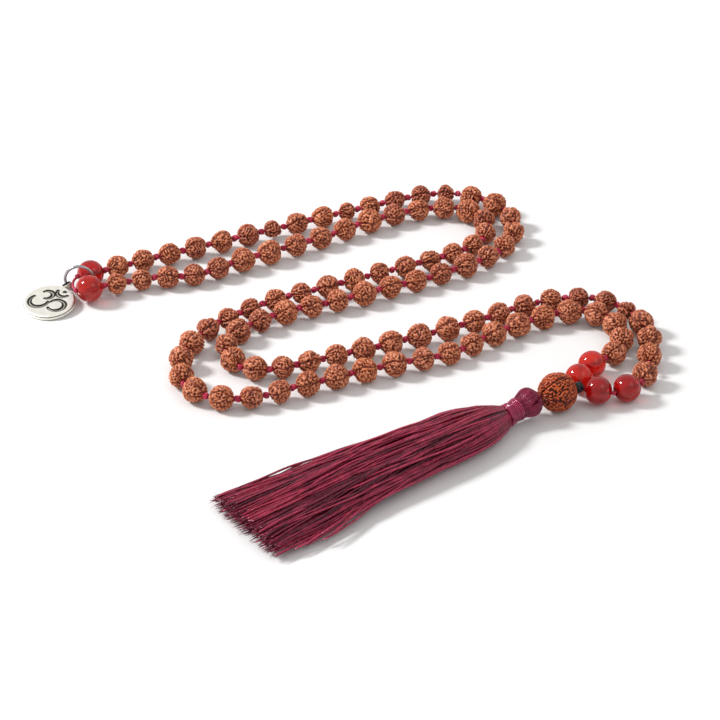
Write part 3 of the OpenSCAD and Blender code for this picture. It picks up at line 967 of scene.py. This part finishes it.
@dataclass
class KnotWork:
    """Both stringing cords, the knots between the beads and the black knot that gathers them."""

    outer: Strand
    inner: Strand
    cord_diameter: float = 0.8 * MM
    sides: int = 8
    steps: int = 6
    knot_turn: float = 1.1 * MM
    tip_turn: float = 2.1 * MM
    link_bulge: float = 1 * MM
    link_points: int = 4
    knot_radius: float = 1.12 * MM
    stone_knot_radius: float = 0.7 * MM
    thread_share: float = 0.4
    knot_rings: int = 42
    knot_sides: int = 7
    knot_squat: float = 0.8
    black_radius: float = 1.62 * MM
    black_thread: float = 0.55 * MM
    black_shift: float = 0.2 * MM
    black_lean: tuple[float, float, float] = (0.0, -0.5, 0.9)
    black_turns: tuple[float, float] = (0.4, 1.7)
    tail_way: tuple[float, float, float] = (0.15, -0.75, 0.65)
    tail_leans: tuple[float, float] = (-0.5, 0.6)
    tail_start: float = 0.6 * MM
    tail_length: float = 1.5 * MM
    tail_droop: float = 0.35 * MM
    tail_radius: float = 0.3 * MM
    seed: int = 11

    def build(self) -> None:
        """Makes the cords, then their knots."""
        for strand, other in ((self.outer, self.inner), (self.inner, self.outer)):
            row = strand.row.value
            knots = self._knots(strand)
            path = self._path(strand, other)
            cord = add_piece(f"cord_{row}", sweep(path, self.cord_diameter / 2, self.sides), TWINE,
                             strand.root_body, [f"cord_{row}_strand"])
        self._guru_knot()

    def _path(self, strand: Strand, other: Strand) -> Array:
        """Middle of a cord: straight through each bead, round at each knot, then half of the link.

        A turn is p (1 - s)^2 + 2 k s (1 - s) + q s^2, where k is the knot's middle, and p and q lie
        one reach before and after it. The link is tip (1 - t) + other tip t, moved out by
        bulge sin(pi t).

        Args:
            strand: The strand that the cord strings.
            other: The strand that it meets inside the ring.
        Returns:
            The points of the cord's middle.
        """
        t = np.linspace(0.25, 0.5, self.link_points)[:, None]
        tip, far = strand.knots[-1], other.knots[-1]
        link = tip * (1 - t) + far * t - self.link_bulge * np.sin(math.pi * t) * np.array([1.0, 0, 0])
        stops = np.concatenate([strand.knots, link[:1]])
        way = unit(np.diff(stops, axis=0))[:, None]
        reach = np.full((len(way) - 1, 1, 1), self.knot_turn)
        reach[-1] = self.tip_turn
        corner = stops[1:-1, None]
        before, after = corner - reach * way[:-1], corner + reach * way[1:]
        s = np.linspace(0, 1, self.steps)[None, :, None]
        turns = before * (1 - s) ** 2 + 2 * corner * s * (1 - s) + after * s**2
        return np.concatenate([stops[:1], turns.reshape(-1, 3), link])

    def _knot(self, centre: Array, axis: Array, size: float, tube: float, turn: float) -> Surface:
        """A pulled-tight knot: a trefoil (sin a + 2 sin 2a, cos a - 2 cos 2a, -sin 3a) as a tube.

        Args:
            centre: Its middle.
            axis: Direction of the cord through it.
            size: Its outer radius.
            tube: Radius of the thread.
            turn: How far it is turned round the cord.
        Returns:
            The knot's surface.
        """
        a = round_angles(self.knot_rings)
        e1, e2 = square_to(axis)
        e1, e2 = (e1 * math.cos(turn) + e2 * math.sin(turn), e2 * math.cos(turn) - e1 * math.sin(turn))
        across = (size - tube) / 3
        path = (
            across * (np.sin(a) + 2 * np.sin(2 * a))[:, None] * e1
            + across * (np.cos(a) - 2 * np.cos(2 * a))[:, None] * e2
            - self.knot_squat * (size - tube) * np.sin(3 * a)[:, None] * axis
        )
        return sweep(centre + path, tube, self.knot_sides, closed=True)

    def _knots(self, strand: Strand) -> bpy.types.Object:
        """All knots of a strand as one piece."""
        row = strand.row.value
        rng = np.random.default_rng(self.seed + len(row))
        parts = []
        last = len(strand.knots) - 1
        for k in range(1, last + 1):
            small = k == last or strand.beads[k - 1].node[:5] == strand.beads[k].node[:5] == "stone"
            size = self.stone_knot_radius if small else self.knot_radius * rng.uniform(0.9, 1.0)
            ahead = unit(strand.knots[min(k + 1, last)] - strand.knots[k - 1])
            tube = self.thread_share * size
            parts.append(self._knot(strand.knots[k], ahead, size, tube, rng.uniform(0, TURN)))
        return add_piece(f"knots_{row}", joined(parts), TWINE, strand.root_body,
                         [f"knots_{row}_strand"])

    def _guru_knot(self) -> None:
        """Two black knots pulled into each other, with two short cut tails."""
        centre = middle("guru_knot")
        axis = joint("guru_bead_spin")[1]
        size, tube = self.black_radius, self.black_thread
        leaning = unit(axis + np.array(self.black_lean))
        parts = [self._knot(centre, axis, size, tube, self.black_turns[0]),
                 self._knot(centre + self.black_shift * axis, leaning, size, tube, self.black_turns[1])]
        side = unit(np.array(self.tail_way))
        t = np.linspace(0, 1, 6)[:, None]
        for lean in self.tail_leans:
            out = unit(side + lean * axis) * (self.tail_start + self.tail_length * t)
            tail = centre + out - np.array([0.0, 0.0, self.tail_droop]) * t * t
            parts.append(sweep(tail, self.tail_radius, 6))
        add_piece("black_knot", joined(parts), BLACK, "strands", ["guru_knot"])


@dataclass
class GuruBead:
    """The large seed in front of the tassel, darker and more deeply cut."""

    seed: int = 5
    tone: float = 0.6
    shape: SeedShape = field(default_factory=lambda: SeedShape(
        columns=240, rows=122, seam_width=0.3 * MM, bore_radius=0.66 * MM, dimple_radius=1.75 * MM,
        waves=40, lump=0.014))

    def build(self) -> None:
        """Makes the guru bead on its own joint. Only its end towards the strands has a knot."""
        centre, axis = joint("guru_bead_spin")
        radius = float(np.linalg.norm(node_points("guru_bead") - centre, axis=1).max())
        to_knot = float(np.linalg.norm(middle("guru_knot") - centre))
        bead = Bead("guru_bead", "guru_bead", centre, axis, radius, (10 * radius, to_knot))
        surface = self.shape.build(bead, self.tone, np.random.default_rng(self.seed))
        add_piece("guru_seed", surface, GURU_SEED, "guru_bead", ["guru_bead"])


# ---------------------------------------------------------------- tassel


class Lay(Enum):
    """How a thread lies in the skirt."""

    LEVEL = "level"
    TUCKED = "tucked"
    DEEP = "deep"
    ACROSS = "across"
    STRAY = "stray"


@dataclass
class Tassel:
    """Folded head, wound binding and loose threads that fan out on the table.

    Angles are in radians. Numbers without a unit are shares of the piece's own radius or length.
    """

    tilt: float = math.radians(11)
    loop_radius: float = 0.5 * MM
    loop_start: float = 0.5 * MM
    loop_end: float = 1.2 * MM
    head_rows: int = 72
    head_columns: int = 224
    folds: int = 46
    fold_height: float = 0.026
    fat_at: float = 0.45
    front_power: float = 2.3
    neck_share: float = 0.74
    split_way: tuple[float, float, float] = (0.0, -0.93, 0.36)
    split_width: float = 0.12
    split_depth: float = 0.38
    lobe_at: float = 0.5
    lobe_width: float = 0.34
    lobe_height: float = 0.04
    head_slack: float = 0.025
    winding_radius: float = 0.31 * MM
    winding_turns: int = 8
    winding_steps: int = 48
    waist: float = 0.16 * MM
    thread_radius: float = 0.335 * MM
    layers: tuple[tuple[float, int], ...] = ((1.0, 84), (0.88, 62), (0.7, 42), (0.45, 26))
    rings: int = 48
    sides: int = 6
    crossing: int = 46
    crossing_turn: float = 0.46
    wander_turn: float = 0.12
    strays: int = 6
    clump: float = 0.11
    clumps: int = 7
    widest_at: float = 0.35
    end_room: float = 1.6 * MM
    uneven_cut: float = 0.016
    fibres: int = 4
    fibre_spread: float = 0.28
    fibre_root: float = 0.4 * MM
    table_gap: float = 0.12 * MM
    seed: int = 29
    tucks: ClassVar[dict[Lay, float]] = {Lay.TUCKED: 0.1, Lay.DEEP: 0.2}

    def __post_init__(self) -> None:
        """Reads the tassel's own frame from its joint, and the skirt's stations."""
        self.pivot, self.hinge = joint("tassel_lift")
        self.ahead = np.array([-self.hinge[1], self.hinge[0], 0.0])
        self.up = np.array([0.0, 0.0, 1.0])
        self.side = np.cross(self.up, self.ahead)
        self.ground = np.array([self.pivot[0], self.pivot[1], 0.0])
        self.rng = np.random.default_rng(self.seed)
        self.slant = self.ahead * math.cos(self.tilt) - self.up * math.sin(self.tilt)
        self.rise = np.cross(self.slant, self.side)
        self.stations = self._section()

    def build(self) -> None:
        """Makes the pieces of the tassel."""
        self._cord()
        self._head()
        self._binding()
        self._skirt()

    def _cord(self) -> None:
        """Short cord from the guru bead into the folded head."""
        out = joint("guru_bead_spin")[1]
        t = np.linspace(0, 1, 8)[:, None]
        path = self.pivot + out * self.loop_start * (1 - t) + self.slant * self.loop_end * t
        add_piece("tassel_loop", sweep(path, self.loop_radius, 8), TASSEL, "tassel_link",
                  ["tassel_cord"])

    def _middle_line(self, node: str) -> tuple[Array, float, float]:
        """Start, length and radius of a round tassel node about the slanted axis."""
        axes = np.array([self.slant, self.side, self.rise])
        low, high = extent(node, self.pivot, axes)
        centre = (low + high) / 2
        start = self.pivot + low[0] * self.slant + centre[1] * self.side + centre[2] * self.rise
        return start, float(high[0] - low[0]), float((high[1] - low[1]) / 2)

    def _head(self) -> None:
        """Egg of folded threads: fine ridges from end to end, a deep split and two soft lobes.

        The radius is R f b (1 + ridges - split + lobes) at a share t of the way to the binding. The
        blunt front f is (1 - (1 - t / fat)^2.3)^0.5, b eases from 1 to the neck, ridges are a cosine
        round the egg whose phase drifts, split is a bell curve about one direction that deepens
        towards the cord's end, and the lobes are the soft swellings beside it.
        """
        start, length, radius = self._middle_line("tassel_head")
        t = np.linspace(0, 1, self.head_rows)[:, None] ** 1.25
        turn = round_angles(self.head_columns)[None]
        facing = np.array(self.split_way)
        split_at = math.atan2(float(facing @ self.rise), float(facing @ self.side))
        off = (turn - split_at + 0.3 * (t - 0.3) + math.pi) % TURN - math.pi
        split = np.exp(-((off / self.split_width) ** 2)) * ease(0.8, 0.35, t)
        lobe = np.exp(-(((np.abs(off) - self.lobe_at) / self.lobe_width) ** 2)) * ease(0.95, 0.2, t)
        drift = 0.5 * np.sin(3 * turn + 1.3) + 0.35 * np.sin(2.2 * t + 2 * turn)
        fold = 0.5 * np.cos(self.folds * turn + 3 * drift) + 0.28 * np.cos(1.6 * self.folds * turn + 5 * t)
        front = (1 - np.clip(1 - t / self.fat_at, 0, 1) ** self.front_power) ** 0.5
        back = 1 - (1 - self.neck_share) * ease(self.fat_at, 1.05, t)
        relief = self.fold_height * fold - self.split_depth * split + self.lobe_height * lobe
        r = radius * np.maximum(front * back, 0.06) * (1 + relief - self.head_slack)
        x = length * (0.02 + 0.98 * t) - 0.25 * MM * lobe * (1 - t)
        points = start + x[..., None] * self.slant + r[..., None] * around(turn, self.side, self.rise)
        surface = grid(points, capped=True, along=np.linspace(0, length, self.head_rows))
        add_piece("tassel_folded_head", surface, FOLDS, "tassel", ["tassel_head"])

    def _binding(self) -> None:
        """Thread wound tightly round the neck: a helix with a slightly uneven pitch and radius."""
        start, length, radius = self._middle_line("tassel_binding")
        wire = self.winding_radius
        t = np.linspace(0, 1, self.winding_turns * self.winding_steps)
        angle = t * self.winding_turns * TURN
        wobble = ripple(angle, (0.06 * MM, 2.3, 0.0), (0.05 * MM, 0.37, 1.0))
        out = radius - wire + self.waist * np.cos(TURN * t) + wobble
        x = length * (0.02 + 0.96 * t) + ripple(angle, (0.12 * MM, 1.0, 0.7), (0.05 * MM, 5.0, 0.0))
        path = start + np.outer(x, self.slant) + out[:, None] * around(angle, self.side, self.rise)
        core_x = np.linspace(-0.4 * MM, length + 0.4 * MM, 6)
        core = sweep(start + np.outer(core_x, self.slant), radius - 1.3 * wire, 28)
        add_piece("tassel_winding", joined([core, sweep(path, wire, 7)]), WRAP, "tassel",
                  ["tassel_binding"])

    def _section(self) -> tuple[Array, Array, Array, Array]:
        """Stations of the CAD skirt: place, half width, underside and top of each."""
        axes = np.array([self.ahead, self.side, self.up])
        local = (node_points("tassel_skirt") - self.ground) @ axes.T
        place = np.unique(np.round(local[:, 0], 6))
        near = [local[np.abs(local[:, 0] - x) < 2e-6] for x in place]
        half = np.array([np.abs(p[:, 1]).max() for p in near])
        under = np.array([p[:, 2].min() for p in near])
        top = np.array([p[:, 2].max() for p in near])
        return place, half, under, top

    def _thread(self, turn: Array, depth: Array, radius: Array, reach: float, sway: Array) -> Array:
        """Middle of one thread.

        At each station the skirt's section is a low dome: across it goes half width cos(angle),
        and it is widest at a share of its height, with less of it below and more above.

        Args:
            turn: Angle in the section at each ring.
            depth: Share of the way out from the section's middle at each ring.
            radius: The thread's radius at each ring.
            reach: Its length as a share of the skirt's.
            sway: Sideways wander at each ring.
        Returns:
            The points of its middle.
        """
        place, half, under, top = self.stations
        x = place[0] + (place[-1] - place[0]) * np.linspace(0, 1, self.rings) * reach
        w, z0, z1 = (np.interp(x, place, values) for values in (half, under, top))
        up, low = depth * np.sin(turn), self.widest_at
        across = (w - radius) * depth * np.cos(turn) + sway
        share = np.where(up > 0, low + (1 - low) * up, low * (1 + up))
        z = z0 + radius + (z1 - z0 - 2 * radius) * share
        return self.ground + np.outer(x, self.ahead) + np.outer(across, self.side) + np.outer(z, self.up)

    def _starts(self) -> list[tuple[float, float, Lay]]:
        """Depth, angle and lay of each thread: layers from the skin inwards, then the loose ones."""
        rng, ways = self.rng, (Lay.LEVEL, Lay.TUCKED, Lay.DEEP)
        starts = [(depth, (k + rng.uniform(-0.3, 0.3)) / count * TURN, ways[k % 3])
                  for depth, count in self.layers for k in range(count)]
        starts += [(1.03, rng.uniform(0.04, 0.8) * math.pi, Lay.ACROSS) for _ in range(self.crossing)]
        starts += [(0.99, rng.uniform(-0.06, 0.08) * math.pi, Lay.STRAY) for _ in range(self.strays)]
        return starts

    def _laid(self, depth: float, angle: float, lay: Lay) -> tuple[Array, Array]:
        """One thread with its random wander, its taper and its uneven cut.

        Args:
            depth: Share of the way out from the section's middle.
            angle: Its angle in the section at the neck.
            lay: How it lies.
        Returns:
            The points of its middle and its radius at each.
        """
        rng = self.rng
        t = np.linspace(0, 1, self.rings)
        spread = ease(0.0, 0.3, t)
        tuck = self.tucks.get(lay, 0.0) if depth > 0.9 else 0.0
        out = depth - tuck * (1 - 0.75 * spread) - 0.05 * rng.uniform() * spread
        share = self.crossing_turn if lay is Lay.ACROSS else self.wander_turn
        cross = share * float(np.clip(rng.normal(), -1.3, 1.3))
        clump = self.clump * np.sin(self.clumps * angle + 2.2 * t)
        turn = angle + cross * ease(0.05, 1, t) + clump * spread
        radius = self.thread_radius * rng.uniform(0.84, 1.1) * (0.94 + 0.06 * spread - 0.16 * t)
        radius = radius * (1 - 0.55 * ease(0.985, 1.0, t))
        phase = rng.uniform(0, TURN, 3)
        sway = t * ripple(t, (0.6 * MM, 5, phase[0]))
        sway = sway + spread * ripple(t, (0.3 * MM, 16, phase[1]), (0.1 * MM, 41, phase[2]))
        if lay is Lay.STRAY:
            sway = sway + rng.uniform(1.5, 4.5) * MM * ease(0.6, 1.0, t) ** 2
        lift = 1 - 0.07 * (1 + np.sin(7 * t + phase[2])) * spread
        room = self.end_room / (self.stations[0][-1] - self.stations[0][0])
        reach = 1 - room - abs(rng.normal()) * self.uneven_cut - 0.02 * (rng.uniform() < 0.12)
        if lay is Lay.STRAY:
            reach = reach * rng.uniform(0.82, 0.97)
        return self._thread(turn, out * lift, radius, reach, sway), radius

    def _skirt(self) -> None:
        """All threads, with frayed ends. Each of the two thread pieces holds half of the list."""
        threads, tufts = [], []
        for start in self._starts():
            path, radius = self._laid(*start)
            tone = np.full(self.rings, self.rng.uniform(-0.5, 0.5))
            threads.append(sweep(path, radius, self.sides, tone=tone))
            tufts += self._tuft(path, float(radius[-1]))
        half = len(threads) // 2
        pieces = {"threads_skin": threads[:half], "threads_core": threads[half:], "frayed_ends": tufts}
        for name, parts in pieces.items():
            add_piece(f"tassel_{name}", joined(parts), TASSEL, "tassel", ["tassel_skirt"])

    def _tuft(self, path: Array, radius: float) -> list[Surface]:
        """Loose fibres at a cut end: short cones that open out from the thread."""
        end, way = path[-1], unit(path[-1] - path[-3])
        t = np.linspace(0, 1, 4)[:, None]
        made = []
        for _ in range(self.fibres):
            lean = self.rng.normal(size=3) * self.fibre_spread
            length = self.rng.uniform(0.7, 1.5) * MM
            line = end - self.fibre_root * way + (way + lean * t) * length * t + lean * radius * 0.8
            line[:, 2] = np.maximum(line[:, 2], self.table_gap)
            made.append(sweep(line, radius * 0.5 * (1 - 0.72 * t[:, 0]), 4))
        return made


# ---------------------------------------------------------------- ring and charm


@dataclass
class JumpRing:
    """Round wire bent into a ring, with the hairline where its ends meet."""

    wire_segments: int = 20
    ring_segments: int = 144
    gap_at: float = math.radians(75)
    half_gap: float = 0.006
    oxide: float = 0.08

    def build(self) -> None:
        """Makes the ring: an arc of a circle as a tube, a hair short of a full turn."""
        centre = middle("jump_ring")
        reach = np.linalg.norm(node_points("jump_ring") - centre, axis=1)
        outer, inner = reach.max(), reach.min()
        first, last = self.gap_at + self.half_gap, self.gap_at + TURN - self.half_gap
        a = np.linspace(first, last, self.ring_segments)
        path = centre + (outer + inner) / 2 * around(a, *square_to(joint("ring_swing")[1]))
        oxide = np.full(len(path), self.oxide)
        surface = sweep(path, (outer - inner) / 2, self.wire_segments, oxide=oxide)
        add_piece("ring_wire", surface, STEEL, "jump_ring", ["jump_ring"])


@dataclass
class Charm:
    """Cast silver disc with a stepped rim, an engraved devotional sign and a bail on the ring.

    An arc of the sign is its centre, radius, first angle and sweep, and the dot is its centre and
    radius, in millimetres and degrees.
    """

    thickness: float = 1.3 * MM
    step: float = 0.34 * MM
    cells: int = 190
    stroke: float = 0.74 * MM
    stroke_depth: float = 0.4 * MM
    floor_rise: float = 0.45
    edge_width: float = 0.4 * MM
    edge_drop: float = 0.16 * MM
    hammer_length: float = 2.4 * MM
    hammer_depth: float = 0.012 * MM
    underside_oxide: float = 0.12
    bail_inner: float = 1.0 * MM
    bail_wall: float = 0.5 * MM
    bail_width: float = 2.2 * MM
    bail_rows: int = 56
    bail_columns: int = 16
    squareness: float = 0.6
    seed: int = 3
    arcs: tuple[tuple[float, float, float, float, float], ...] = (
        (-3.0, 0.4, 2.8, 120, 225), (-0.7, 3.0, 1.8, -110, 230), (2.2, -2.3, 2.5, -160, 295),
        (4.3, 3.7, 2.1, 150, 150))
    dot: tuple[float, float, float] = (4.5, 3.8, 0.6)

    def __post_init__(self) -> None:
        """Reads the disc's place."""
        self.base, self.normal, self.radius = self._place()

    def build(self) -> None:
        """Makes the disc and its bail as one piece."""
        surface = joined([self._disc(), self._bail()])
        add_piece("charm_disc", surface, SILVER, "charm", ["charm"])

    @staticmethod
    def _place() -> tuple[Array, Array, float]:
        """Middle of the disc's underside, its upward normal and its radius, from the CAD mesh."""
        mesh = frame["nodes"]["charm"].data
        areas = read(mesh.polygons, "area").ravel()
        normals, middles = read(mesh.polygons, "normal", 3), read(mesh.polygons, "center", 3)
        corners = read(mesh.loops, "vertex_index", 1, np.int32).reshape(-1, 3)
        normal = normals[areas.argmax()]
        normal = unit(normal * np.sign(normal[2]))
        under = np.flatnonzero(normals @ normal < -0.9999)
        height = middles[under] @ normal
        wide = height[areas[under].argmax()]
        rim = node_points("charm")[np.unique(corners[under[np.abs(height - wide) < 1e-5]])]
        across = [(rim @ e).min() / 2 + (rim @ e).max() / 2 for e in square_to(normal)]
        centre = across @ np.array(square_to(normal)) + wide * normal
        return centre, normal, float(np.linalg.norm(rim - centre, axis=1).max())

    def _arc_distance(self, x: Array, y: Array) -> Array:
        """Distance to the sign's lines, as a share of the stroke's half width there.

        Near an arc it is |distance to its centre - its radius|, and past its ends the distance to
        the end. The half width swells from the ends to the middle along half a sine.

        Args:
            x: First coordinates on the disc.
            y: Second coordinates.
        Returns:
            The share at each point.
        """
        best = np.full(x.shape, np.inf)
        for cx, cy, radius, first, sweep_angle in self.arcs:
            dx, dy = x - cx * MM, y - cy * MM
            span = math.radians(sweep_angle)
            angle = (np.arctan2(dy, dx) - math.radians(first)) % TURN
            angle = np.where(angle > span / 2 + math.pi, angle - TURN, angle)
            held = np.clip(angle, 0, span)
            at = held + math.radians(first)
            far = np.hypot(dx - radius * MM * np.cos(at), dy - radius * MM * np.sin(at))
            half = self.stroke * (0.6 + 0.42 * np.sin(math.pi * held / span))
            best = np.minimum(best, far / half)
        dot = np.hypot(x - self.dot[0] * MM, y - self.dot[1] * MM) / (self.dot[2] * MM)
        return np.minimum(best, dot)

    def _axes(self) -> Array:
        """The disc's own x and y: the frame's, turned by the disc's lean about a level line k.

        A vector v turns to v cos a + (k x v) sin a + k (k . v) (1 - cos a).
        """
        k = unit(np.cross([0.0, 0.0, 1.0], self.normal))
        angle = math.acos(float(self.normal[2]))
        c, s = math.cos(angle), math.sin(angle)
        v = np.eye(3)[:2]
        return v * c + np.cross(k, v) * s + np.outer(v @ k, k) * (1 - c)

    def _face(self) -> tuple[Array, Array]:
        """The engraved face: a square grid eased onto a circle.

        A point (a, b) of the square goes to (a sqrt(1 - b^2/2), b sqrt(1 - a^2/2)) on the disc.
        The engraving lowers the face by a channel with steep walls and a raised floor.

        Returns:
            Its points on the disc, rows by columns by 3, and the oxide at each.
        """
        face = self.radius - self.step
        a, b = np.meshgrid(*[np.linspace(-1, 1, self.cells + 1)] * 2, indexing="ij")
        x = a * np.sqrt(1 - b * b / 2) * face
        y = b * np.sqrt(1 - a * a / 2) * face
        far = self._arc_distance(x, y)
        channel = 1 - ease(0.72, 1.12, far)
        floor = 1 - ease(0.1, 0.62, far)
        edge = ease(face - self.edge_width, face, np.hypot(x, y))
        flat = np.stack([x, y, 0 * x], axis=-1).reshape(-1, 3)
        rng = np.random.default_rng(self.seed)
        hammer = wave_field(flat, self.hammer_length, 20, rng).reshape(x.shape)
        sunk = self.stroke_depth * channel * (1 - self.floor_rise * floor)
        z = self.thickness - sunk - self.edge_drop * edge**2 + self.hammer_depth * hammer * (1 - channel)
        oxide = channel * (1 - 0.5 * floor) + 0.5 * (ease(1.5, 1.0, far) - channel).clip(0)
        return np.stack([x, y, z], axis=-1), np.clip(oxide, 0, 1)

    def _disc(self) -> Surface:
        """The disc: the face, rings down the rim and in under it, and a fan about the middle."""
        face, high, radius = self.radius - self.step, self.thickness, self.radius
        top, oxide = self._face()
        n = self.cells + 1
        index = np.arange(n * n).reshape(n, n)
        loop = np.concatenate([index[:-1, 0], index[-1, :-1], index[:0:-1, -1], index[0, :0:-1]])
        top = top.reshape(-1, 3)
        # Radius, height and oxide of each ring.
        rim, levels, darks = np.array([
            (face + 0.02 * MM, high - 0.26 * MM, 0.1), (face, 0.62 * high, 0.55),
            (face + 0.04 * MM, 0.56 * high, 0.8), (radius - 0.1 * MM, 0.55 * high, 0.25),
            (radius, 0.46 * high, 0.05), (radius, 0.16 * high, 0.1),
            (radius - 0.12 * MM, 0.0, 0.2), (0.6 * radius, 0.0, self.underside_oxide),
            (0.25 * radius, 0.0, self.underside_oxide)]).T
        count = len(loop)
        rings = np.zeros((len(rim), count, 3))
        rings[..., :2] = rim[:, None, None] * unit(top[loop, :2])
        rings[..., 2] = levels[:, None]
        ids = np.concatenate([loop[None], len(top) + np.arange(len(rim) * count).reshape(-1, count)])
        upper, lower = ids[:-1], ids[1:]
        plane = np.stack([index[:-1, :-1], index[1:, :-1], index[1:, 1:], index[:-1, 1:]], -1)
        wall = np.stack([upper, lower, np.roll(lower, -1, 1), np.roll(upper, -1, 1)], -1)
        quads = np.concatenate([plane.reshape(-1, 4), wall.reshape(-1, 4)])
        hub = np.full(count, len(top) + rings[..., 0].size)
        fan = np.stack([hub, np.roll(ids[-1], -1), ids[-1]], axis=-1)
        local = np.concatenate([top, rings.reshape(-1, 3), np.zeros((1, 3))])
        points = self.base + local @ np.array([*self._axes(), self.normal])
        dark = np.concatenate([oxide.ravel(), np.repeat(darks, count), [self.underside_oxide]])
        quad_uv, tri_uv = np.zeros((len(quads), 4, 2)), np.zeros((len(fan), 3, 2))
        return Surface(points, quads, fan, quad_uv, tri_uv, {"oxide": dark})

    def _bail(self) -> Surface:
        """Strap bent round the ring's wire: a rounded bar carried round a circle, widest at the disc."""
        at = joint("charm_swing")[0]
        tangent = unit(np.cross(joint("ring_swing")[1], at - middle("jump_ring")))
        out = self.base + self.normal * self.thickness / 2 - at
        out = unit(out - (out @ tangent) * tangent)
        a = round_angles(self.bail_rows)[:, None]
        c = round_angles(self.bail_columns)[None]
        bulge, high = (np.sign(f(c)) * np.abs(f(c)) ** self.squareness for f in (np.cos, np.sin))
        width = self.bail_width / 2 * (0.8 + 0.2 * np.cos(a))
        wall = self.bail_wall / 2 * (1 + 0.15 * np.cos(a))
        r = self.bail_inner + self.bail_wall / 2 + wall * bulge
        radial = around(a, out, np.cross(tangent, out))
        points = at + r[..., None] * radial + (width * high)[..., None] * tangent
        # The strap's inner face, round the wire, is much darker than its outer faces.
        dark = np.clip(0.34 + 0.6 * (bulge < -0.2) + 0 * a, 0, 1)
        return grid(points[:, ::-1], closed_rows=True, oxide=dark)


# ---------------------------------------------------------------- studio


@dataclass
class Studio:
    """Camera, pale floor and soft lights."""

    distance: float = 1.2
    elevation: float = math.radians(33)
    lens: float = 208.2
    sensor: float = 36.0
    key_way: tuple[float, float, float] = (-0.74, 0.15, 0.66)
    key_size: float = 0.4
    key_power: float = 34.0
    fill_way: tuple[float, float, float] = (0.55, -0.3, 0.8)
    fill_size: float = 1.0
    fill_power: float = 2.4
    lamp_distance: float = 1.8
    world: float = 0.75
    floor_half: float = 8.0
    floor_tone: float = 0.74

    def build(self) -> None:
        """Sets up the view and the light."""
        target = np.array([lay_shift[0], lay_shift[1], 0.0])
        self._camera(target)
        self._floor(target)
        self._light("key", target, self.key_way, self.key_size, self.key_power)
        self._light("fill", target, self.fill_way, self.fill_size, self.fill_power)
        world = bpy.data.worlds.new("studio")
        bpy.context.scene.world = world
        world.use_nodes = True
        world.node_tree.nodes["Background"].inputs["Color"].default_value = (1.0, 0.985, 0.98, 1)
        world.node_tree.nodes["Background"].inputs["Strength"].default_value = self.world
        bpy.context.scene.view_settings.view_transform = "Standard"

    def _aim(self, thing: bpy.types.Object, place: Array, target: Array) -> None:
        """Puts a lamp or camera at a place, looking at the target."""
        back = Vector(place - target)
        thing.location = place
        thing.rotation_euler = (-back).to_track_quat("-Z", "Y").to_euler()
        bpy.context.scene.collection.objects.link(thing)

    def _camera(self, target: Array) -> None:
        """The camera, with depth of field off."""
        data = bpy.data.cameras.new("view")
        data.lens, data.sensor_width = self.lens, self.sensor
        data.clip_start, data.clip_end = 0.05, 20.0
        camera = bpy.data.objects.new("view", data)
        e = self.elevation
        back = np.array([0.0, -math.cos(e), math.sin(e)])
        self._aim(camera, target + self.distance * back, target)
        bpy.context.scene.camera = camera

    def _light(self, name: str, target: Array, way: Sequence[float], size: float, power: float) -> None:
        """One round soft light."""
        data = bpy.data.lights.new(name, "AREA")
        data.shape, data.size, data.energy = "DISK", size, power
        place = target + self.lamp_distance * unit(np.array(way))
        self._aim(bpy.data.objects.new(name, data), place, target)

    def _floor(self, target: Array) -> None:
        """A wide plain floor that the object lies on."""
        half, tone = self.floor_half, self.floor_tone
        mesh = bpy.data.meshes.new("floor")
        corners = [(-half, -half, 0), (half, -half, 0), (half, half, 0), (-half, half, 0)]
        mesh.from_pydata(corners, [], [(0, 1, 2, 3)])
        sheet = NodeSheet("pale_floor")
        mesh.materials.append(sheet.finish({"Base Color": (tone, tone, tone, 1), "Roughness": 0.6}))
        floor = bpy.data.objects.new("floor", mesh)
        bpy.context.scene.collection.objects.link(floor)


def main() -> None:
    """Builds the studio, then every part of the mala in order."""
    logging.basicConfig(level=logging.INFO, format="%(message)s")
    Studio().build()
    outer, inner = Strand(Row.OUTER, OUTER_ROUTE), Strand(Row.INNER, INNER_ROUTE)
    KnotWork(outer, inner).build()
    for number, strand in enumerate((outer, inner)):
        SeedBeads(strand, 100 + number).build()
        Stones(strand, 40 + number).build()
    GuruBead().build()
    Tassel().build()
    JumpRing().build()
    Charm().build()


if __name__ == "__main__":
    main()
